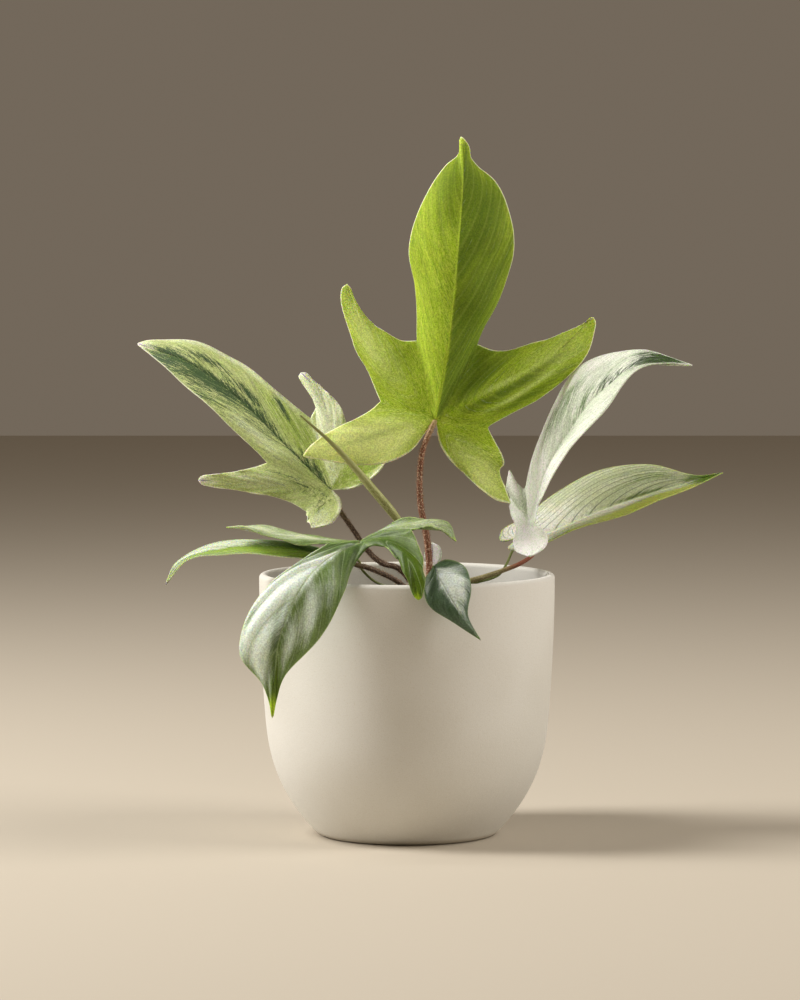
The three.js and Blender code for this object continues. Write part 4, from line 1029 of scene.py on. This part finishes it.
hairMaterial = stalkMaterial("stalkHair", {
    "base": tint(200, 168, 136), "second": tint(168, 130, 102), "fleck": tint(220, 198, 172),
    "fleckShare": 0.3, "top": tint(200, 168, 136), "topFrom": (0, 400), "grain": 0.6, "roughness": 0.6})
redBrown = stalkMaterial("redBrownStalk", {
    "base": tint(156, 104, 78), "second": tint(120, 76, 58), "fleck": tint(232, 204, 176),
    "fleckShare": 0.9, "top": tint(150, 132, 78), "topFrom": (70, 90)})
darkBrown = stalkMaterial("darkBrownStalk", {
    "base": tint(98, 76, 62), "second": tint(64, 50, 42), "fleck": tint(176, 152, 128),
    "fleckShare": 0.7, "top": tint(122, 108, 66), "topFrom": (44, 62)})
olive = stalkMaterial("oliveStalk", {
    "base": tint(176, 168, 120), "second": tint(140, 130, 88), "fleck": tint(212, 200, 160),
    "fleckShare": 0.6, "top": tint(146, 88, 66), "topFrom": (30, 42)})
green = stalkMaterial("greenStalk", {
    "base": tint(112, 124, 58), "second": tint(88, 100, 46), "fleck": tint(160, 166, 104),
    "top": tint(150, 160, 96), "topFrom": (30, 60), "grain": 0.8, "roughness": 0.42})

stalks = {
    "lime_leaf_petiole": {
        "path": [(10.5, 1.5, 113), (10.5, 1, 129.5), (9, 0, 143.5), (6.5, 0, 156), (6, 0, 169),
                 (7.5, -1, 182.5), (11, -1.5, 191.5), (13.3, 1.2, 196)],
        "radii": [1.6, 1.6, 1.45, 1.3, 1.2], "hairs": hairs, "slot": "red_brown_stalk", "skin": redBrown},
    "mottled_leaf_petiole": {
        "path": [(4, 2.5, 117), (-4, 2, 126), (-12, 4, 128.5), (-18.5, 6, 134), (-26, 9, 144.5),
                 (-32, 12, 153), (-35.3, 12.2, 161.5)],
        "radii": [1.3, 1.3, 1.2, 1.0], "hairs": hairs, "slot": "dark_brown_stalk", "skin": darkBrown},
    "white_leaf_petiole": {
        "path": [(14, 0.5, 115), (25, 0, 119), (36, 0, 122), (46.5, 1, 125.5), (54, 2, 128.5), (60, 4, 133),
                 (60, 7, 140), (58.2, 5.4, 147.4)],
        "radii": [1.4, 1.25, 1.0, 0.8], "slot": "red_brown_stalk", "skin": olive},
    "pale_leaf_petiole": {
        "path": [(13.5, 4, 113), (24, 5, 116.5), (34.5, 5, 119.5), (39.5, 8, 120.5), (44, 10, 122.5),
                 (47.5, 14, 127), (50.5, 19, 133), (54.2, 17.2, 139.6)],
        "radii": [0.8, 0.6, 0.6], "slot": "green_stalk", "skin": green},
    "arching_leaf_petiole": {
        "path": [(4.8, -6.4, 112.5), (-4, -22, 121.5), (-12.5, -34, 127), (-19.5, -44, 130.5),
                 (-24.5, -49, 132.5), (-25.5, -50, 137.5), (-21.7, -51.8, 142.4)],
        "radii": [1.4, 1.2, 1.2, 1.0], "hairs": {**hairs, "perMm": 6}, "slot": "dark_brown_stalk",
        "skin": darkBrown},
    "small_dark_leaf_petiole": {
        "path": [(11, -7, 113), (12, -30, 121.5), (12.5, -50, 130), (12, -63.6, 132)],
        "radii": [0.9, 0.8, 0.7], "slot": "green_stalk", "skin": green},
    "strap_leaf": {
        "path": [(7.5, -7, 112), (2, -18, 114.5), (-6, -27, 118.5), (-14.5, -34, 122.5), (-17.5, -37, 125),
                 (-21, -40, 129), (-22.5, -42.6, 133.2), (-26, -42.9, 134.6)],
        "radii": [0.7, 0.55, 0.6], "slot": "strap_blade", "skin": green},
    "small_white_leaf": {
        "path": [(10.5, 5, 116), (11, 7, 122), (11.5, 8.1, 126)],
        "radii": [0.8, 0.7], "slot": "white_blade", "skin": green},
}
for number, (node, stalk) in enumerate(stalks.items()):
    skins = [stalk["skin"], hairMaterial] if "hairs" in stalk else [stalk["skin"]]
    makeStalk(node, stalk, skins, number * stalkMaking["seedStep"])


# The rolled new leaf and its papery sheath

spear = {
    "path": [(8, -3, 114), (6.8, -4.9, 121), (5.5, -6, 129), (2, -8, 138), (-4, -11, 149.5),
             (-16, -14, 164.5), (-34, -16, 185), (-50, -18, 199.5)],
    "radii": [1.5, 1.5, 1.7, 2.2, 2.1, 1.6, 0.9, 0.35], "sides": 36, "step": 0.9,
    "overlap": 0.16, "overlapMiddle": 0.85, "twist": 0.9, "folds": 5, "foldDepth": 0.015,
}
spearCurve = smoothCurve(spear["path"])


def rolledShape(turn, share):
    # the rolled blade's free edge winds slowly round it
    place = (turn / (2 * math.pi) + spear["twist"] * share) % 1
    lap = spear["overlap"] * (place - spear["overlapMiddle"])
    return 1 + lap + spear["foldDepth"] * math.sin(turn * spear["folds"])


rolledLeaf = bmesh.new()
sweepRing(rolledLeaf, spearCurve, spear["radii"], spear["sides"], spear["step"], rolledShape)
finishPiece("rolled_new_leaf", rolledLeaf, [stalkMaterial("rolledLeaf", {
    "base": tint(188, 190, 128), "second": tint(164, 170, 104), "fleck": tint(204, 208, 156),
    "top": tint(132, 132, 74), "topFrom": (50, 112), "grain": 0.9, "roughness": 0.42})],
    "new_leaf_spear")

sheath = {
    "columns": 28, "rows": 60, "facing": (1, 0.5, 0),
    "start": 0.045, "end": 0.35,        # the part of the spear that it goes with
    "reach": (2.2, 0.35), "reachPower": 1.5,        # how far round it goes each way, at its foot and its top
    "radius": 2.4, "flare": 1.0, "thickness": 0.25,
    "crinkle": 0.16, "crinkles": (11, 4), "curl": 0.5, "curls": (2, 17),        # across and along it
}


def makeSheath():
    bm = bmesh.new()
    grid = bmesh.ops.create_grid(bm, x_segments=sheath["columns"], y_segments=sheath["rows"], size=1)["verts"]
    facing = Vector(sheath["facing"])
    low, high = sheath["reach"]
    for vert in grid:
        w, share = vert.co.x, (vert.co.y + 1) / 2
        t = sheath["start"] + (sheath["end"] - sheath["start"]) * share
        heading, right, back = frameAt(spearCurve, t, facing)
        reach = low + (high - low) * share ** sheath["reachPower"]
        crinkle = sheath["crinkle"] * math.sin(w * sheath["crinkles"][0] + share * sheath["crinkles"][1])
        curl = sheath["curl"] * abs(w) ** 3 * math.sin(share * sheath["curls"][1] + w * sheath["curls"][0])
        radius = sheath["radius"] + sheath["flare"] * share + (crinkle + curl) * share ** 0.5
        vert.co = (spearCurve["at"](t) + right * radius * math.cos(w * reach)
                   + back * radius * math.sin(w * reach))
    paper = grainyMaterial("paperySheath", {
        "base": tint(240, 228, 212), "second": tint(222, 202, 182), "fleck": tint(184, 152, 128),
        "size": 1.2, "coarse": 4, "secondFrom": (0.35, 0.65), "fleckFrom": (0.55, 0.7), "fleckShare": 0.4,
        "roughness": 0.6, "bump": 0.5}, {
        "Subsurface Weight": 1.0, "Subsurface Radius": (1.0, 0.9, 0.75), "Subsurface Scale": 0.6 * mm})
    finishPiece("dry_sheath_skin", bm, [paper], "spear_sheath", sheath["thickness"])


makeSheath()

# The crown that the stalks grow from

crown = {
    "centre": (9, -1), "foot": 90, "top": 122,
    "outline": [(4.5, 91), (6, 97), (7.2, 105), (8.6, 112), (8.2, 116.5), (5.5, 120.5)],
    "sides": 48, "rows": 40, "pole": 0.01,
    "scars": 6, "scarDepth": 0.35, "scarSharp": 8, "lumps": 0.5, "lumpSize": 0.35, "sunk": 0.6,
}


def makeCrown():
    foot, top = crown["foot"], crown["top"]
    outline = [(crown["pole"], foot), *crown["outline"], (crown["pole"], top)]
    outline = smoothCurve([(r, 0, z) for r, z in outline])
    points = [outline["at"](row / crown["rows"]) for row in range(crown["rows"] + 1)]
    bm = bmesh.new()
    lathe(bm, [(0, foot), *[(point.x, point.z) for point in points[1:-1]], (0, top)], crown["sides"])
    for vert in bm.verts:
        ring = math.sin((vert.co.z - foot) / (top - foot) * math.pi * crown["scars"]) ** crown["scarSharp"]
        lump = noise.noise(vert.co * crown["lumpSize"]) * crown["lumps"]
        flat = Vector((vert.co.x, vert.co.y, 0))
        if flat.length > 0.5:
            vert.co += flat.normalized() * (lump - crown["lumps"] * crown["sunk"] - ring * crown["scarDepth"])
    bmesh.ops.translate(bm, vec=(*crown["centre"], 0), verts=bm.verts)
    bark = grainyMaterial("crownBark", {
        "base": tint(120, 112, 66), "second": tint(98, 76, 54), "fleck": tint(64, 48, 36), "size": 1.0,
        "coarse": 6, "secondFrom": (0.4, 0.6), "fleckFrom": (0.5, 0.66), "bump": 0.8})
    finishPiece("crown_stem", bm, [bark], "crown")


makeCrown()

# The mix that fills the pot, with bark chips and perlite on it

mix = {
    "top": 108, "gap": 0.6, "sides": 120, "step": 8, "ringStep": 1.6,
    "foot": 0.3, "chamfer": 4, "shoulder": 1,       # gap to the pot's floor, slopes at the two edges
    "swell": (1.1, 0.06, 7), "grit": (0.35, 0.45, 3),       # height, fineness and layer of the noise
    "seed": 11, "clear": 10, "spread": 0.96, "lift": 0.12, "tilt": 0.35, "jitter": 0.07,
}
# Their numbers and sizes, and their widths and heights as shares of those sizes
chips = {"count": 620, "size": (1.2, 4.2), "width": (0.35, 0.8), "height": (0.18, 0.4)}
perlite = {"count": 60, "size": (0.9, 1.9), "width": (0.7, 1), "height": (0.7, 1)}
mixLooks = {
    "moistPeat": {"base": tint(58, 42, 32), "second": tint(40, 28, 22), "fleck": tint(92, 70, 52),
                  "roughness": 0.9},
    "barkChips": {"base": tint(98, 68, 46), "second": tint(66, 44, 32), "fleck": tint(134, 100, 70),
                  "roughness": 0.8},
    "perlite": {"base": tint(214, 208, 196), "second": tint(194, 186, 172), "fleck": tint(150, 140, 124),
                "roughness": 0.85},
}


def soilLift(place):
    # the top is uneven but stays level with the solid's top on average
    lift = 0
    for height, fineness, layer in (mix["swell"], mix["grit"]):
        lift += height * noise.noise(Vector((place.x, place.y, layer)) * fineness)
    return lift


def mixProfile(reach):
    floor, top, gap = pot["floor"], mix["top"], mix["gap"]
    foot, shoulder = floor + mix["foot"], mix["shoulder"]
    points = [(0, foot), (innerRadius(floor) - mix["chamfer"], foot)]
    z = floor + mix["chamfer"]
    while z < top - 3 * shoulder:
        points.append((innerRadius(z) - gap, z))
        z += mix["step"]
    points.append((reach, top - shoulder))
    r = reach - shoulder
    while r > 1:
        points.append((r, top))
        r -= mix["ringStep"]
    return points + [(0, top)]


def makeMix():
    bm = bmesh.new()
    reach = innerRadius(mix["top"]) - mix["gap"]
    lathe(bm, mixProfile(reach), mix["sides"])
    for vert in bm.verts:
        if vert.co.z > mix["top"] - 0.5:
            vert.co.z += soilLift(vert.co)
    chance = random.Random(mix["seed"])
    centre = Vector((*crown["centre"], 0))
    for number in range(chips["count"] + perlite["count"]):
        kind = chips if number < chips["count"] else perlite
        spread = reach * math.sqrt(chance.random()) * mix["spread"]
        turn = chance.uniform(0, 2 * math.pi)
        place = Vector((spread * math.cos(turn), spread * math.sin(turn), 0))
        if (place - centre).length < mix["clear"]:
            continue
        size = chance.uniform(*kind["size"])
        width, height = chance.uniform(*kind["width"]), chance.uniform(*kind["height"])
        place.z = mix["top"] + soilLift(place) + size * mix["lift"]
        turned = Matrix.Rotation(chance.uniform(0, 6.28), 4, "Z")
        for axis in "XY":
            turned = turned @ Matrix.Rotation(chance.gauss(0, mix["tilt"]), 4, axis)
        stretched = Matrix.Diagonal((size / 2, width * size / 2, height * size / 2, 1))
        made = bmesh.ops.create_icosphere(bm, subdivisions=1, radius=1.0,
                                          matrix=Matrix.Translation(place) @ turned @ stretched)["verts"]
        for vert in made:
            vert.co += Vector([chance.uniform(-1, 1) for axis in range(3)]) * size * mix["jitter"]
        for face in {face for vert in made for face in vert.link_faces}:
            face.material_index = 1 if kind is chips else 2
    finishPiece("moist_mix", bm, [grainyMaterial(name, look) for name, look in mixLooks.items()],
                "potting_mix")


makeMix()


# Floor, lights and camera, in metres and degrees

stage = {
    "floorSize": 8, "aim": (0, 0, 0.15), "air": (0.17, 0.138, 0.104, 1),
    "lights": {
        "key": {"power": 37, "size": (0.5, 1.4), "azimuth": -88, "height": 40, "reach": 1.6,
                "colour": (1.0, 0.97, 0.92)},
        "fill": {"power": 19, "size": (0.9, 1.2), "azimuth": 80, "height": 32, "reach": 1.7,
                 "colour": (1.0, 0.95, 0.88)}},
    "lens": 144.8, "sensor": 36, "eye": (-0.0033, -1.9, 0.279), "pitch": 86.376,
}


def makeFloor():
    bm = bmesh.new()
    bmesh.ops.create_grid(bm, x_segments=1, y_segments=1, size=stage["floorSize"] / 2)
    mesh = bpy.data.meshes.new("pale_floor")
    bm.to_mesh(mesh)
    bm.free()
    material, tree = newMaterial("paleFloor")
    finishMaterial(tree, tint(196, 187, 172), 0.9)
    mesh.materials.append(material)
    floor = bpy.data.objects.new("pale_floor", mesh)
    bpy.context.collection.objects.link(floor)


def addSoftLight(name, settings):
    light = bpy.data.lights.new(name, "AREA")
    light.energy = settings["power"]
    light.shape = "RECTANGLE"
    light.size, light.size_y = settings["size"]
    light.color = settings["colour"]
    lamp = bpy.data.objects.new(name, light)
    turn, rise = math.radians(settings["azimuth"]), math.radians(settings["height"])
    away = Vector((math.sin(turn) * math.cos(rise), -math.cos(turn) * math.cos(rise), math.sin(rise)))
    lamp.location = Vector(stage["aim"]) + away * settings["reach"]
    lamp.rotation_euler = away.to_track_quat("Z", "Y").to_euler()
    bpy.context.collection.objects.link(lamp)


def makeCamera():
    lens = bpy.data.cameras.new("camera")
    lens.lens = stage["lens"]
    lens.sensor_width = stage["sensor"]
    camera = bpy.data.objects.new("camera", lens)
    camera.location = stage["eye"]
    camera.rotation_euler = (math.radians(stage["pitch"]), 0, 0)
    bpy.context.collection.objects.link(camera)
    bpy.context.scene.camera = camera


makeFloor()
for name, settings in stage["lights"].items():
    addSoftLight(name, settings)
world = bpy.data.worlds.new("warmAir")
world.use_nodes = True
world.node_tree.nodes["Background"].inputs[0].default_value = stage["air"]
bpy.context.scene.world = world
bpy.context.scene.view_settings.view_transform = "Standard"
makeCamera()
print("stage ready")

bpy.context.view_layer.update()
